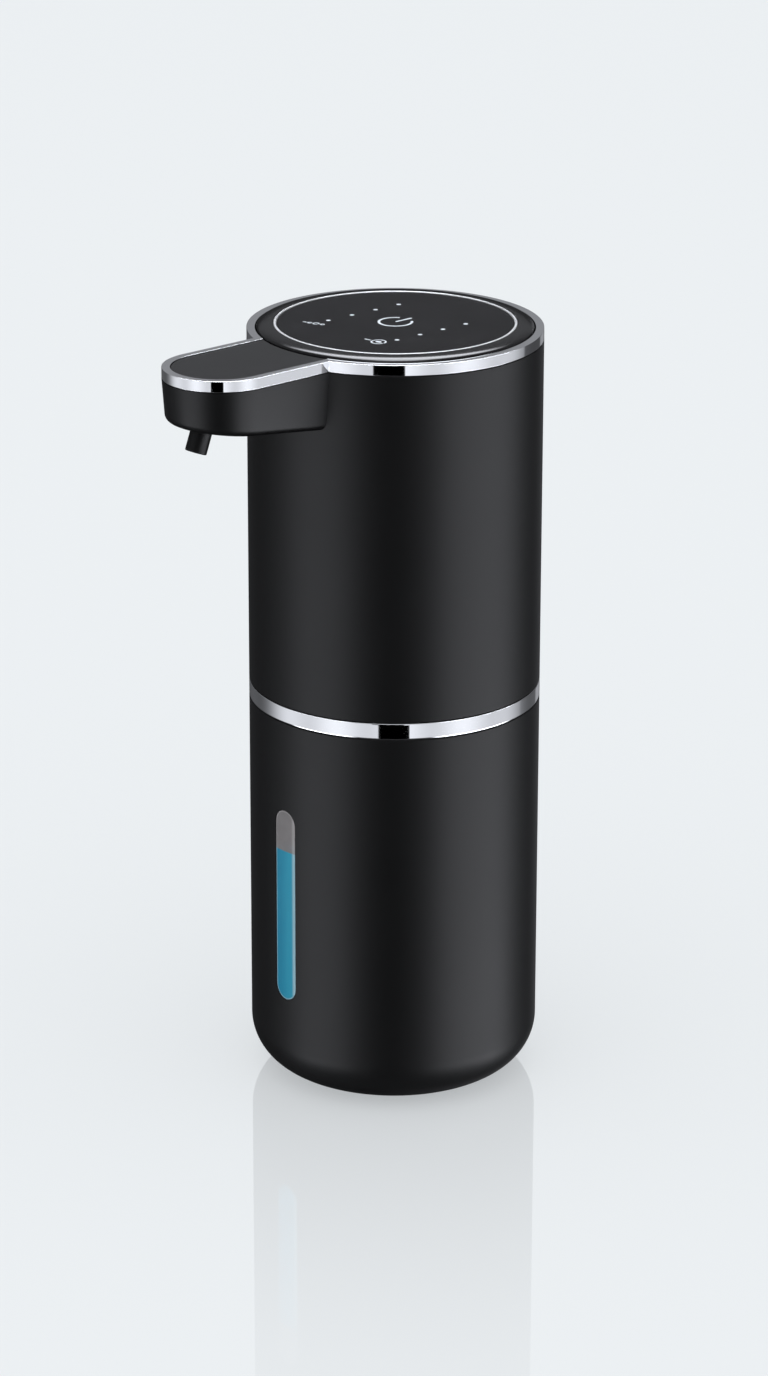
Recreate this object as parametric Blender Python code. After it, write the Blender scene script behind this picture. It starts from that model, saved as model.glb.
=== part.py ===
"""Automatic soap dispenser: a bottle, and a pump head with a spout that screws off it.

Metres, +Z up. The origin is the middle of the foot, on the axis of the barrel, and the spout points to -Y.
The head is built up from the neck of the bottle: deck, frame, pump, motor, cell, board and touch panel
stand on each other, so a longer cell or a taller pump raises everything above it.
"""

import math

import bmesh
import bpy
from mathutils import Matrix, Vector

MM = 0.001

# Clearances that every fit uses
GAP = 0.3 * MM
SEAM = 0.15 * MM
SLIP = 0.12 * MM
OVERRUN = 2.0 * MM
WELD = 0.001 * MM
CUT_WELD = 0.01 * MM

# Counts of facets
ROUND_STEPS = 40
MIDDLE_STEPS = 24
SMALL_STEPS = 16
POCKET_STEPS = 16
SHAFT_STEPS = 12
SCREW_STEPS = 8
CORNER_STEPS = 3
SHARP_ANGLE = math.radians(32)

# Barrel and bottle
BODY_RADIUS = 35.5 * MM
WALL = 1.8 * MM
BOTTLE_HEIGHT = 97.4 * MM
BOTTLE_FLOOR = 2.8 * MM
FOOT_ROUND = 13.3 * MM
FOOT_ROUND_STEPS = 5
FOOT_INSIDE_STEPS = 3
NECK_HEIGHT = 12.6 * MM
PAD_RADIUS = 20.0 * MM
PAD_THICKNESS = 1.4 * MM
PAD_PROUD = 0.4 * MM

# Sight window in the bottle, under the spout
WINDOW_WIDTH = 7.2 * MM
WINDOW_LOW = 25.2 * MM
WINDOW_HIGH = 74.9 * MM
WINDOW_FLANGE = 2.0 * MM
WINDOW_FLANGE_THICKNESS = 1.2 * MM

# Ring between bottle and head, and the deck that closes the head below
MID_RING_HEIGHT = 4.0 * MM
SEAL_THICKNESS = 1.2 * MM
SEAL_LIP_DEPTH = 2.5 * MM
SEAL_LIP_THICKNESS = 1.0 * MM
DECK_THICKNESS = 2.0 * MM
DECK_SKIRT = 1.2 * MM
DECK_COLLAR = 1.5 * MM
DECK_GROOVE = 4.2 * MM
NECK_FREE_PLAY = 0.6 * MM

# Housing
LEDGE_WIDTH = 1.8 * MM
LEDGE_HEIGHT = 1.7 * MM
BOSS_RADIUS = 2.5 * MM
BOSS_HEIGHT = 9.0 * MM
DECK_SCREW_ANGLES = [math.radians(a) for a in (0, 180, 240)]

# Spout
SPOUT_REACH = 67.8 * MM
SPOUT_HALF_WIDTH = 13.7 * MM
SPOUT_DEPTH_AT_ROOT = 14.5 * MM
SPOUT_RISE_SHARE = 0.127
SPOUT_DRAFT = 1.0 * MM
SPOUT_EDGE_ROUND = 1.8 * MM
SPOUT_TIP_STEPS = 14
SPOUT_ROOT_STEPS = 6
EDGE_STEPS = 4

# Rim of the head: bright ring, spout cover, shoulder and touch panel
BAND_HEIGHT = 2.6 * MM
BAND_WIDTH = 2.05 * MM
BAND_EDGE = 0.25 * MM
COVER_RECESS = 0.2 * MM
COVER_THICKNESS = 1.6 * MM
COVER_SKIRT = 4.6 * MM
COVER_WALL = 1.2 * MM
BEZEL_SKIRT = 3.0 * MM
BEZEL_WALL = 1.8 * MM
BEZEL_SHELF = 1.6 * MM
BEZEL_SHELF_WIDTH = 5.2 * MM
SHOULDER_WIDTH = 3.9 * MM
SHOULDER_STEPS = 4
CROWN_OVER_PANEL = 0.1 * MM
RIM_BELOW_PANEL = 0.9 * MM
ACCENT_WIDTH = 0.7 * MM
PANEL_THICKNESS = 1.5 * MM
PANEL_EDGE = 0.2 * MM

# Nozzle and outlet hose
NOZZLE_INSET = 8.1 * MM
NOZZLE_TILT = math.radians(20.6)
NOZZLE_RADIUS = 2.3 * MM
NOZZLE_BORE = 1.5 * MM
NOZZLE_BELOW = 6.1 * MM
NOZZLE_FLANGE = 3.6 * MM
NOZZLE_FLANGE_THICKNESS = 1.0 * MM
BARB_RADIUS = 1.6 * MM
BARB_BORE = 0.9 * MM
BARB_LENGTH = 4.4 * MM
HOSE_WALL = 0.85 * MM
HOSE_DEPTH = 6.2 * MM
HOSE_ROOM = 6.6 * MM
HOSE_SIDES = 6

# Hand sensor in the spout
SENSOR_WINDOW_RADIUS = 3.0 * MM
SENSOR_WINDOW_THICKNESS = 0.9 * MM
SENSOR_BOARD_HALF_WIDTH = 7.5 * MM
SENSOR_BOARD_HALF_LENGTH = 4.2 * MM
SENSOR_BOARD_THICKNESS = 1.0 * MM
SENSOR_EYE_RADIUS = 0.9 * MM
SENSOR_EYE_SPACING = 2.8 * MM
SENSOR_EYE_DEPTH = 0.5 * MM

# Cell, charging inlet and its flap
CELL_RADIUS = 9.25 * MM
CELL_LENGTH = 65.2 * MM
CELL_CAP_RADIUS = 3.0 * MM
CELL_CAP_HEIGHT = 0.7 * MM
CELL_EDGE = 0.8 * MM
CELL_BACK_ROOM = 2.65 * MM
PORT_HEIGHT = 12.0 * MM
PORT_BOSS_DEPTH = 3.9 * MM
PORT_BOSS_HALF_WIDTH = 10.0 * MM
PORT_BOSS_HALF_HEIGHT = 6.5 * MM
SOCKET_HALF_WIDTH = 4.47 * MM
SOCKET_HALF_HEIGHT = 1.63 * MM
SOCKET_WALL = 0.3 * MM
SOCKET_DEPTH = 3.4 * MM
SOCKET_TONGUE_THICKNESS = 0.7 * MM
SOCKET_TONGUE_LENGTH = 2.4 * MM
FLAP_HALF_WIDTH = 7.4 * MM
FLAP_HALF_HEIGHT = 4.2 * MM
FLAP_CORNER = 2.0 * MM
FLAP_THICKNESS = 1.2 * MM
FLAP_PLUG_DEPTH = 0.8 * MM
CHARGE_BOARD_THICKNESS = 1.6 * MM
CHARGE_BOARD_HALF_WIDTH = 8.0 * MM
CHARGE_BOARD_HEIGHT = 22.0 * MM

# Frame inside the head
FRAME_BASE_THICKNESS = 2.0 * MM
WEB_THICKNESS = 2.0 * MM
WEB_HALF_WIDTH = 22.0 * MM
FLANGE_WIDTH = 6.0 * MM
CRADLE_HALF_WIDTH = 18.5 * MM
CRADLE_HEIGHT = 7.0 * MM
CELL_CRADLE_SHARES = (0.25, 0.75)
MOTOR_CRADLE_SHARE = 0.55
STRAP_THICKNESS = 1.2 * MM
STRAP_HEIGHT = 5.0 * MM
STRAP_EAR = 4.5 * MM
STRAP_STEPS = 10
CABLE_ROOM = 6.0 * MM
FRAME_SCREW_INSIDE_FLANGE = 3.55 * MM
FRAME_SCREW_BEHIND_WEB = 3.05 * MM
FRAME_SCREW_BESIDE_PUMP = 5.05 * MM
FRAME_SCREW_BEFORE_MOTOR = 4.65 * MM
FRAME_BOSS_HEIGHT = 4.5 * MM

# Motor
MOTOR_RADIUS = 12.2 * MM
MOTOR_LENGTH = 28.0 * MM
MOTOR_EDGE = 1.2 * MM
MOTOR_NOSE_RADIUS = 3.0 * MM
MOTOR_NOSE_HEIGHT = 1.0 * MM
MOTOR_CAP_HEIGHT = 2.6 * MM
MOTOR_TAG_HEIGHT = 2.4 * MM
MOTOR_TAG_SPACING = 12.0 * MM
MOTOR_TAG_THICKNESS = 0.8 * MM
MOTOR_TAG_WIDTH = 2.4 * MM
SHAFT_RADIUS = 1.0 * MM

# Gear pump
GEAR_MODULE = 0.9 * MM
GEAR_TEETH = 12
GEAR_WIDTH = 6.0 * MM
GEAR_ADDENDUM_SHARE = 0.85
GEAR_DEDENDUM_SHARE = 1.25
GEAR_BACKLASH = 0.2 * MM
PRESSURE_ANGLE = math.radians(20)
FLANK_STEPS = 2
PUMP_FLOOR = 2.5 * MM
PUMP_WALL = 2.6 * MM
PUMP_CORNER = 3.0 * MM
GASKET_THICKNESS = 0.6 * MM
PUMP_COVER_THICKNESS = 2.8 * MM
SHAFT_SEAL_RADIUS = 3.4 * MM
SHAFT_SEAL_THICKNESS = 1.5 * MM
INLET_RADIUS = 1.4 * MM
PUMP_SCREW_INSET = 2.3 * MM

# Check valve and suction tube
VALVE_RADIUS = 3.7 * MM
VALVE_WALL = 0.9 * MM
VALVE_FLOOR = 1.2 * MM
VALVE_SEAT_RADIUS = 1.3 * MM
VALVE_TRAVEL = 1.2 * MM
BALL_RADIUS = 2.0 * MM
BALL_STEPS = 14
SPIGOT_WALL = 1.4 * MM
SPIGOT_DEPTH = 5.0 * MM
TUBE_RADIUS = 3.0 * MM
TUBE_WALL = 1.0 * MM
STRAINER_WALL = 1.1 * MM
STRAINER_HEIGHT = 10.0 * MM
STRAINER_LIFT = 0.8 * MM
STRAINER_SLOT_WIDTH = 2.2 * MM
STRAINER_SLOT_HEIGHT = 3.0 * MM
STRAINER_FLOOR = 1.0 * MM

# Control board, light mask and touch spring
BOARD_EDGE_ROOM = 1.85 * MM
BOARD_THICKNESS = 1.6 * MM
BOARD_ROOM = 2.0 * MM
BOARD_SCREW_INSET = 2.4 * MM
BOARD_SCREW_ANGLES = [math.radians(a) for a in (90, 210, 330)]
CHIP_HALF_SIZE = 3.5 * MM
CHIP_HEIGHT = 1.0 * MM
CONNECTOR_SIZE = (9.0 * MM, 5.0 * MM, 4.4 * MM)
CONNECTOR_X = 14.5 * MM
CONNECTOR_BEFORE_CELL = 1.5 * MM
MASK_EDGE_ROOM = 1.05 * MM
MASK_HEIGHT = 3.5 * MM
LIGHT_RADIUS = 1.1 * MM
LIGHT_LATERAL = 11.5 * MM
LIGHT_PITCH = 7.6 * MM
LIGHTS_IN_A_ROW = 4
ICON_ALONG = 15.6 * MM
ICON_RADIUS = 2.6 * MM
SPRING_RADIUS = 2.6 * MM
SPRING_WIRE = 0.25 * MM
SPRING_ROOM = 1.0 * MM
SPRING_TURNS = 4
SPRING_SIDES = 4
SPRING_POINTS_PER_TURN = 8

# Screws: head radius, head height, shank radius, shank length
SMALL_SCREW = (1.8 * MM, 1.3 * MM, 0.9 * MM, 5.0 * MM)
FRAME_SCREW = (2.1 * MM, 1.5 * MM, 1.05 * MM, 5.0 * MM)
BOARD_SCREW = (1.7 * MM, 1.0 * MM, 0.8 * MM, 3.0 * MM)
PUMP_SCREW = (1.6 * MM, 1.1 * MM, 0.8 * MM, 7.0 * MM)
SCREW_CROWN_SHARE = 0.6

# Wires
LEAD_RADIUS = 0.6 * MM
CABLE_RADIUS = 0.9 * MM
WIRE_SIDES = 5
ROUTE_STEPS = 3

# Heights, each stacked on the one before
BOTTLE_LOW = PAD_PROUD
BOTTLE_INSIDE_LOW = BOTTLE_LOW + BOTTLE_FLOOR
NECK_TOP = BOTTLE_HEIGHT + NECK_HEIGHT
SEAL_LOW = NECK_TOP + SEAM
DECK_LOW = SEAL_LOW + SEAL_THICKNESS + SEAM
DECK_HIGH = DECK_LOW + DECK_THICKNESS
MID_RING_LOW = BOTTLE_HEIGHT + SEAM
MID_RING_HIGH = BOTTLE_HEIGHT + MID_RING_HEIGHT
HOUSING_LOW = MID_RING_HIGH + SEAM
FRAME_LOW = DECK_HIGH + GAP
FRAME_BASE_HIGH = FRAME_LOW + FRAME_BASE_THICKNESS
PUMP_LOW = FRAME_BASE_HIGH + GAP
POCKET_LOW = PUMP_LOW + PUMP_FLOOR
GEAR_LOW = POCKET_LOW + SEAM
GEAR_HIGH = GEAR_LOW + GEAR_WIDTH
PUMP_HIGH = GEAR_HIGH + SEAM
GASKET_LOW = PUMP_HIGH + SEAM
GASKET_HIGH = GASKET_LOW + GASKET_THICKNESS
PUMP_COVER_LOW = GASKET_HIGH + SEAM
PUMP_COVER_HIGH = PUMP_COVER_LOW + PUMP_COVER_THICKNESS
MOTOR_LOW = PUMP_COVER_HIGH + GAP
MOTOR_HIGH = MOTOR_LOW + MOTOR_LENGTH
MOTOR_CAP_LOW = MOTOR_HIGH + SEAM
MOTOR_CAP_HIGH = MOTOR_CAP_LOW + MOTOR_CAP_HEIGHT
CELL_LOW = FRAME_BASE_HIGH + GAP
CELL_HIGH = CELL_LOW + CELL_LENGTH
BOARD_LOW = CELL_HIGH + BOARD_ROOM
BOARD_HIGH = BOARD_LOW + BOARD_THICKNESS
MASK_LOW = BOARD_HIGH + GAP
MASK_HIGH = MASK_LOW + MASK_HEIGHT
PANEL_LOW = MASK_HIGH + GAP
PANEL_HIGH = PANEL_LOW + PANEL_THICKNESS
CROWN_HIGH = PANEL_HIGH + CROWN_OVER_PANEL
RIM_HIGH = PANEL_HIGH - RIM_BELOW_PANEL
BAND_LOW = RIM_HIGH - BAND_HEIGHT
HOUSING_HIGH = BAND_LOW - SEAM
BEZEL_LOW = BAND_LOW - BEZEL_SKIRT
LEDGE_HIGH = BEZEL_LOW - GAP
HOSE_HIGH = BAND_LOW - HOSE_DEPTH

# Radii that follow the barrel
INSIDE_RADIUS = BODY_RADIUS - WALL
DECK_RADIUS = INSIDE_RADIUS - GAP
SKIRT_INSIDE = DECK_RADIUS - DECK_SKIRT
COLLAR_OUTSIDE = SKIRT_INSIDE - DECK_GROOVE
COLLAR_INSIDE = COLLAR_OUTSIDE - DECK_COLLAR
NECK_RADIUS = COLLAR_INSIDE - NECK_FREE_PLAY
NECK_INSIDE = NECK_RADIUS - WALL
BOSS_CIRCLE = (SKIRT_INSIDE + COLLAR_OUTSIDE) / 2
BEZEL_RADIUS = BODY_RADIUS - BAND_WIDTH - GAP
CROWN_RADIUS = BEZEL_RADIUS - SHOULDER_WIDTH
ACCENT_RADIUS = CROWN_RADIUS - SEAM
PANEL_RADIUS = ACCENT_RADIUS - ACCENT_WIDTH - SEAM
SHELF_INSIDE = CROWN_RADIUS - BEZEL_SHELF_WIDTH
BOARD_RADIUS = BEZEL_RADIUS - BEZEL_WALL - BOARD_EDGE_ROOM
MASK_RADIUS = SHELF_INSIDE - MASK_EDGE_ROOM
FRAME_RADIUS = BOSS_CIRCLE - BOSS_RADIUS - 2 * GAP

# Places in plan, from the back of the barrel to the front
PORT_BOSS_Y = INSIDE_RADIUS - PORT_BOSS_DEPTH
CHARGE_BOARD_BACK = PORT_BOSS_Y - GAP
CHARGE_BOARD_FRONT = CHARGE_BOARD_BACK - CHARGE_BOARD_THICKNESS
CELL_Y = CHARGE_BOARD_FRONT - CELL_BACK_ROOM - CELL_RADIUS
CONNECTOR_Y = CELL_Y - CONNECTOR_BEFORE_CELL
WEB_BACK = CELL_Y - CELL_RADIUS - GAP
WEB_FRONT = WEB_BACK - WEB_THICKNESS
MOTOR_Y = WEB_FRONT - GAP - MOTOR_RADIUS
HOSE_Y = -(INSIDE_RADIUS - HOSE_ROOM)
PORT_Z = DECK_HIGH + PORT_HEIGHT

# Gear pump sizes
PITCH_RADIUS = GEAR_MODULE * GEAR_TEETH / 2
GEAR_CENTRES = 2 * PITCH_RADIUS
GEAR_RADIUS = PITCH_RADIUS + GEAR_ADDENDUM_SHARE * GEAR_MODULE
POCKET_RADIUS = GEAR_RADIUS + GAP
PUMP_HALF_DEPTH = POCKET_RADIUS + PUMP_WALL
MESH_X = GEAR_CENTRES / 2
CUSP_Y = math.sqrt(POCKET_RADIUS ** 2 - MESH_X ** 2)
INLET_Y = MOTOR_Y + CUSP_Y + INLET_RADIUS / 2
OUTLET_Z = (GEAR_LOW + GEAR_HIGH) / 2
PUMP_FRONT = MOTOR_Y - PUMP_HALF_DEPTH
BARB_TIP_Y = PUMP_FRONT - BARB_LENGTH
FRAME_SCREW_PLACES = [
    (WEB_HALF_WIDTH - WEB_THICKNESS - FRAME_SCREW_INSIDE_FLANGE, WEB_BACK + FRAME_SCREW_BEHIND_WEB),
    (-PUMP_HALF_DEPTH - FRAME_SCREW_BESIDE_PUMP, MOTOR_Y - FRAME_SCREW_BEFORE_MOTOR),
]

# Valve heights, down from the pump's floor
BALL_STOP = PUMP_LOW - GAP
BALL_Z = BALL_STOP - VALVE_TRAVEL - BALL_RADIUS
BALL_RISE = math.sqrt(BALL_RADIUS ** 2 - VALVE_SEAT_RADIUS ** 2)
SEAT_Z = BALL_Z - BALL_RISE - SEAM
VALVE_LOW = SEAT_Z - VALVE_FLOOR
CHAMBER_LOW = VALVE_LOW - SEAM
TUBE_HIGH = CHAMBER_LOW - SEAM
TUBE_BORE = TUBE_RADIUS - TUBE_WALL
SPIGOT_LOW = CHAMBER_LOW - SPIGOT_DEPTH
STRAINER_LOW = BOTTLE_INSIDE_LOW + STRAINER_LIFT
STRAINER_HIGH = STRAINER_LOW + STRAINER_HEIGHT

# Spout sizes
SPOUT_CENTRE = SPOUT_REACH - SPOUT_HALF_WIDTH
SPOUT_ROOT = math.sqrt(BODY_RADIUS ** 2 - SPOUT_HALF_WIDTH ** 2)
SPOUT_INSIDE = SPOUT_HALF_WIDTH - WALL
NOZZLE_REACH = SPOUT_REACH - NOZZLE_INSET
SENSOR_REACH = (SPOUT_ROOT + NOZZLE_REACH) / 2

# Directions of the spout (front) and the charging inlet (back): columns are right, up and outwards
FACING_FRONT = Matrix(((1, 0, 0, 0), (0, 0, -1, 0), (0, 1, 0, 0), (0, 0, 0, 1)))
FACING_BACK = Matrix(((-1, 0, 0, 0), (0, 0, 1, 0), (0, 1, 0, 0), (0, 0, 0, 1)))

# Finishes: colour, roughness, metallic
SATIN_BLACK = ((0.035, 0.035, 0.038), 0.42, 0.0)
GLOSS_BLACK = ((0.018, 0.018, 0.02), 0.12, 0.0)
PANEL_GLASS = ((0.03, 0.03, 0.034), 0.2, 0.0)
CHROME = ((0.85, 0.86, 0.88), 0.06, 1.0)
CLEAR_PLASTIC = ((0.75, 0.85, 0.88), 0.08, 0.0)
SILICONE_BLACK = ((0.03, 0.03, 0.03), 0.6, 0.0)
SILICONE_CLEAR = ((0.75, 0.76, 0.74), 0.45, 0.0)
NYLON_WHITE = ((0.72, 0.72, 0.69), 0.45, 0.0)
NYLON_GREY = ((0.22, 0.23, 0.24), 0.5, 0.0)
STEEL = ((0.6, 0.6, 0.61), 0.25, 1.0)
BRASS = ((0.75, 0.58, 0.3), 0.3, 1.0)
BOARD_GREEN = ((0.03, 0.2, 0.09), 0.4, 0.0)
CELL_WRAP = ((0.08, 0.3, 0.52), 0.35, 0.0)
WIRE_RED = ((0.6, 0.04, 0.03), 0.45, 0.0)
WIRE_BLACK = ((0.02, 0.02, 0.02), 0.45, 0.0)
WIRE_GREY = ((0.4, 0.4, 0.4), 0.45, 0.0)


def clear_scene():
    """Remove whatever the file holds, so the model is alone in it."""
    for obj in list(bpy.data.objects):
        bpy.data.objects.remove(obj, do_unlink=True)


def material_for(name, finish):
    """One material for one piece."""
    colour, roughness, metallic = finish
    material = bpy.data.materials.new(name)
    material.use_nodes = True
    shader = material.node_tree.nodes["Principled BSDF"]
    shader.inputs["Base Color"].default_value = (*colour, 1.0)
    shader.inputs["Roughness"].default_value = roughness
    shader.inputs["Metallic"].default_value = metallic
    material.diffuse_color = (*colour, 1.0)
    return material


def finished(name, bm, finish, frame=None):
    """Close a piece: doubles merged, faces outwards, smooth with sharp edges kept."""
    bmesh.ops.remove_doubles(bm, verts=bm.verts, dist=WELD)
    bmesh.ops.recalc_face_normals(bm, faces=bm.faces)
    mesh = bpy.data.meshes.new(name)
    bm.to_mesh(mesh)
    bm.free()
    if frame is not None:
        mesh.transform(frame)
    mesh.shade_smooth()
    mesh.set_sharp_from_angle(angle=SHARP_ANGLE)
    obj = bpy.data.objects.new(name, mesh)
    bpy.context.scene.collection.objects.link(obj)
    if finish is None:
        obj.hide_render = True
        obj.display_type = 'WIRE'
    else:
        mesh.materials.append(material_for(name, finish))
    return obj


def arc(centre_u, centre_v, radius_u, radius_v, start, end, steps):
    """Points along an arc of a circle or an ellipse, both ends included."""
    turn = (end - start) / steps
    angles = [start + turn * i for i in range(steps + 1)]
    return [(centre_u + radius_u * math.cos(a), centre_v + radius_v * math.sin(a)) for a in angles]


def turned(name, outline, finish, steps=ROUND_STEPS, frame=None):
    """Turn a closed outline of (radius, height) points about its own Z."""
    bm = bmesh.new()
    verts = [bm.verts.new((radius, 0, height)) for radius, height in outline]
    edges = []
    for this, following in zip(verts, verts[1:] + verts[:1]):
        if this.co.x > 0 or following.co.x > 0:
            edges.append(bm.edges.new((this, following)))
    bmesh.ops.spin(bm, geom=verts + edges, cent=(0, 0, 0), axis=(0, 0, 1), dvec=(0, 0, 0),
                   angle=math.tau, steps=steps, use_merge=True)
    return finished(name, bm, finish, frame)


def tube(name, outer, inner, low, high, finish, steps=ROUND_STEPS, frame=None):
    """A plain round tube, or a disc where inner is zero."""
    outline = [(outer, low), (outer, high), (inner, high), (inner, low)]
    return turned(name, outline, finish, steps, frame)


def prism(name, outline, low, high, finish, frame=None):
    """Push a flat outline up from low to high."""
    bm = bmesh.new()
    face = bm.faces.new([bm.verts.new((u, v, low)) for u, v in outline])
    pushed = bmesh.ops.extrude_face_region(bm, geom=[face])
    top = [part for part in pushed["geom"] if isinstance(part, bmesh.types.BMVert)]
    bmesh.ops.translate(bm, verts=top, vec=(0, 0, high - low))
    return finished(name, bm, finish, frame)


def plate(name, outline, holes, low, high, finish):
    """A flat plate with holes: the outlines are filled as one face, which is pushed up."""
    bm = bmesh.new()
    edges = []
    for loop in [outline, *holes]:
        verts = [bm.verts.new((u, v, low)) for u, v in loop]
        edges += [bm.edges.new(pair) for pair in zip(verts, verts[1:] + verts[:1])]
    filled = bmesh.ops.triangle_fill(bm, edges=edges, use_beauty=True, normal=(0, 0, 1))
    faces = [part for part in filled["geom"] if isinstance(part, bmesh.types.BMFace)]
    pushed = bmesh.ops.extrude_face_region(bm, geom=faces)
    top = [part for part in pushed["geom"] if isinstance(part, bmesh.types.BMVert)]
    bmesh.ops.translate(bm, verts=top, vec=(0, 0, high - low))
    return finished(name, bm, finish)


def circle(x, y, radius, steps=SCREW_STEPS):
    """Outline of a round hole or disc."""
    return [(x + u, y + v) for u, v in arc(0, 0, radius, radius, 0, math.tau, steps)[:-1]]


def block(name, low, high, finish):
    """A rectangular block between two corners."""
    outline = [(low[0], low[1]), (high[0], low[1]), (high[0], high[1]), (low[0], high[1])]
    return prism(name, outline, low[2], high[2], finish)


def skinned(name, rings, finish, joined=False):
    """Skin a row of rings of equal counts. The ends are capped, or joined to each other."""
    bm = bmesh.new()
    rows = [[bm.verts.new(point) for point in ring] for ring in rings]
    count = len(rows[0])
    pairs = list(zip(rows, rows[1:]))
    if joined:
        pairs.append((rows[-1], rows[0]))
    for lower, upper in pairs:
        for i in range(count):
            following = (i + 1) % count
            bm.faces.new((lower[i], lower[following], upper[following], upper[i]))
    if not joined:
        bm.faces.new(list(reversed(rows[0])))
        bm.faces.new(rows[-1])
    return finished(name, bm, finish)


def boolean(target, operation, tools):
    """Cut, join or trim a piece with guide shapes."""
    for tool in tools:
        modifier = target.modifiers.new(f"{operation.lower()} {tool.name}", 'BOOLEAN')
        modifier.operation = operation
        modifier.object = tool
        modifier.solver = 'EXACT'
    return target


def weld_cuts():
    """Merge the tiny edges that cuts leave, on every piece that was cut or joined."""
    for obj in bpy.data.objects:
        if obj.modifiers:
            weld = obj.modifiers.new("weld", 'WELD')
            weld.merge_threshold = CUT_WELD


def cut(target, *tools):
    """Take the tools out of a piece."""
    return boolean(target, 'DIFFERENCE', tools)


def join(target, *tools):
    """Add the tools to a piece."""
    return boolean(target, 'UNION', tools)


def trim(target, *tools):
    """Keep what a piece shares with the tool."""
    return boolean(target, 'INTERSECT', tools)


def capsule(half_length, radius, steps, upright=False):
    """Outline of a slot with full-round ends, along u or, upright, along v."""
    run = half_length - radius
    right = arc(run, 0, radius, radius, -math.pi / 2, math.pi / 2, steps)
    left = arc(-run, 0, radius, radius, math.pi / 2, 3 * math.pi / 2, steps)
    outline = right + left
    if upright:
        outline = [(-v, u) for u, v in outline]
    return outline


def rounded_rectangle(half_width, half_height, corner, steps):
    """Outline of a rectangle with round corners, about the middle."""
    points = []
    for quarter, (side, lift) in enumerate(((1, 1), (-1, 1), (-1, -1), (1, -1))):
        start = quarter * math.pi / 2
        centre = (side * (half_width - corner), lift * (half_height - corner))
        points += arc(*centre, corner, corner, start, start + math.pi / 2, steps)
    return points


def moved(outline, du, dv):
    """An outline at another place."""
    return [(u + du, v + dv) for u, v in outline]


def at(x, y, z=0.0):
    """Frame that moves a piece without turning it."""
    return Matrix.Translation((x, y, z))


def smooth_route(points, steps=ROUTE_STEPS):
    """Points on one smooth curve through the route's own points."""
    places = [Vector(point) for point in points]
    padded = [2 * places[0] - places[1], *places, 2 * places[-1] - places[-2]]
    route = []
    for before, start, end, after in zip(padded, padded[1:], padded[2:], padded[3:]):
        for step in range(steps):
            t = step / steps
            cubic = (2 * start + (end - before) * t
                     + (2 * before - 5 * start + 4 * end - after) * t ** 2
                     + (3 * start - before - 3 * end + after) * t ** 3)
            route.append(cubic / 2)
    route.append(places[-1])
    return route


def rings_along(route, radius, sides):
    """Rings square to a route, carried along it without twist."""
    headings = []
    for i in range(len(route)):
        ahead = route[min(i + 1, len(route) - 1)] - route[max(i - 1, 0)]
        headings.append(ahead.normalized())
    side = headings[0].orthogonal().normalized()
    rings = []
    for place, heading in zip(route, headings):
        side = (side - heading * side.dot(heading)).normalized()
        other = heading.cross(side)
        angles = [math.tau * i / sides for i in range(sides)]
        rings.append([place + radius * (side * math.cos(a) + other * math.sin(a)) for a in angles])
    return rings


def wire(name, points, radius, finish, sides=WIRE_SIDES):
    """A round wire along a smooth curve through the points."""
    return skinned(name, rings_along(smooth_route(points), radius, sides), finish)


def screw(name, sizes, place, finish, pointing_up=False):
    """A pan-head screw whose head sits on the given place and whose shank points down, or up."""
    head_radius, head_height, shank_radius, shank_length = sizes
    crown_radius = SCREW_CROWN_SHARE * head_radius
    outline = [
        (0, -shank_length),
        (shank_radius, -shank_length + shank_radius),
        (shank_radius, 0),
        (head_radius, 0),
        (crown_radius, head_height),
        (0, head_height),
    ]
    frame = Matrix.Translation(place)
    if pointing_up:
        frame = frame @ Matrix.Rotation(math.pi, 4, 'X')
    return turned(name, outline, finish, SCREW_STEPS, frame)


def hole(name, x, y, radius, low, high, steps=SCREW_STEPS):
    """A round upright cutter."""
    return tube(name, radius, 0, low, high, None, steps, at(x, y))


def polar(radius, angle):
    """Plan coordinates of a place on a circle round the axis."""
    return radius * math.cos(angle), radius * math.sin(angle)


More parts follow.
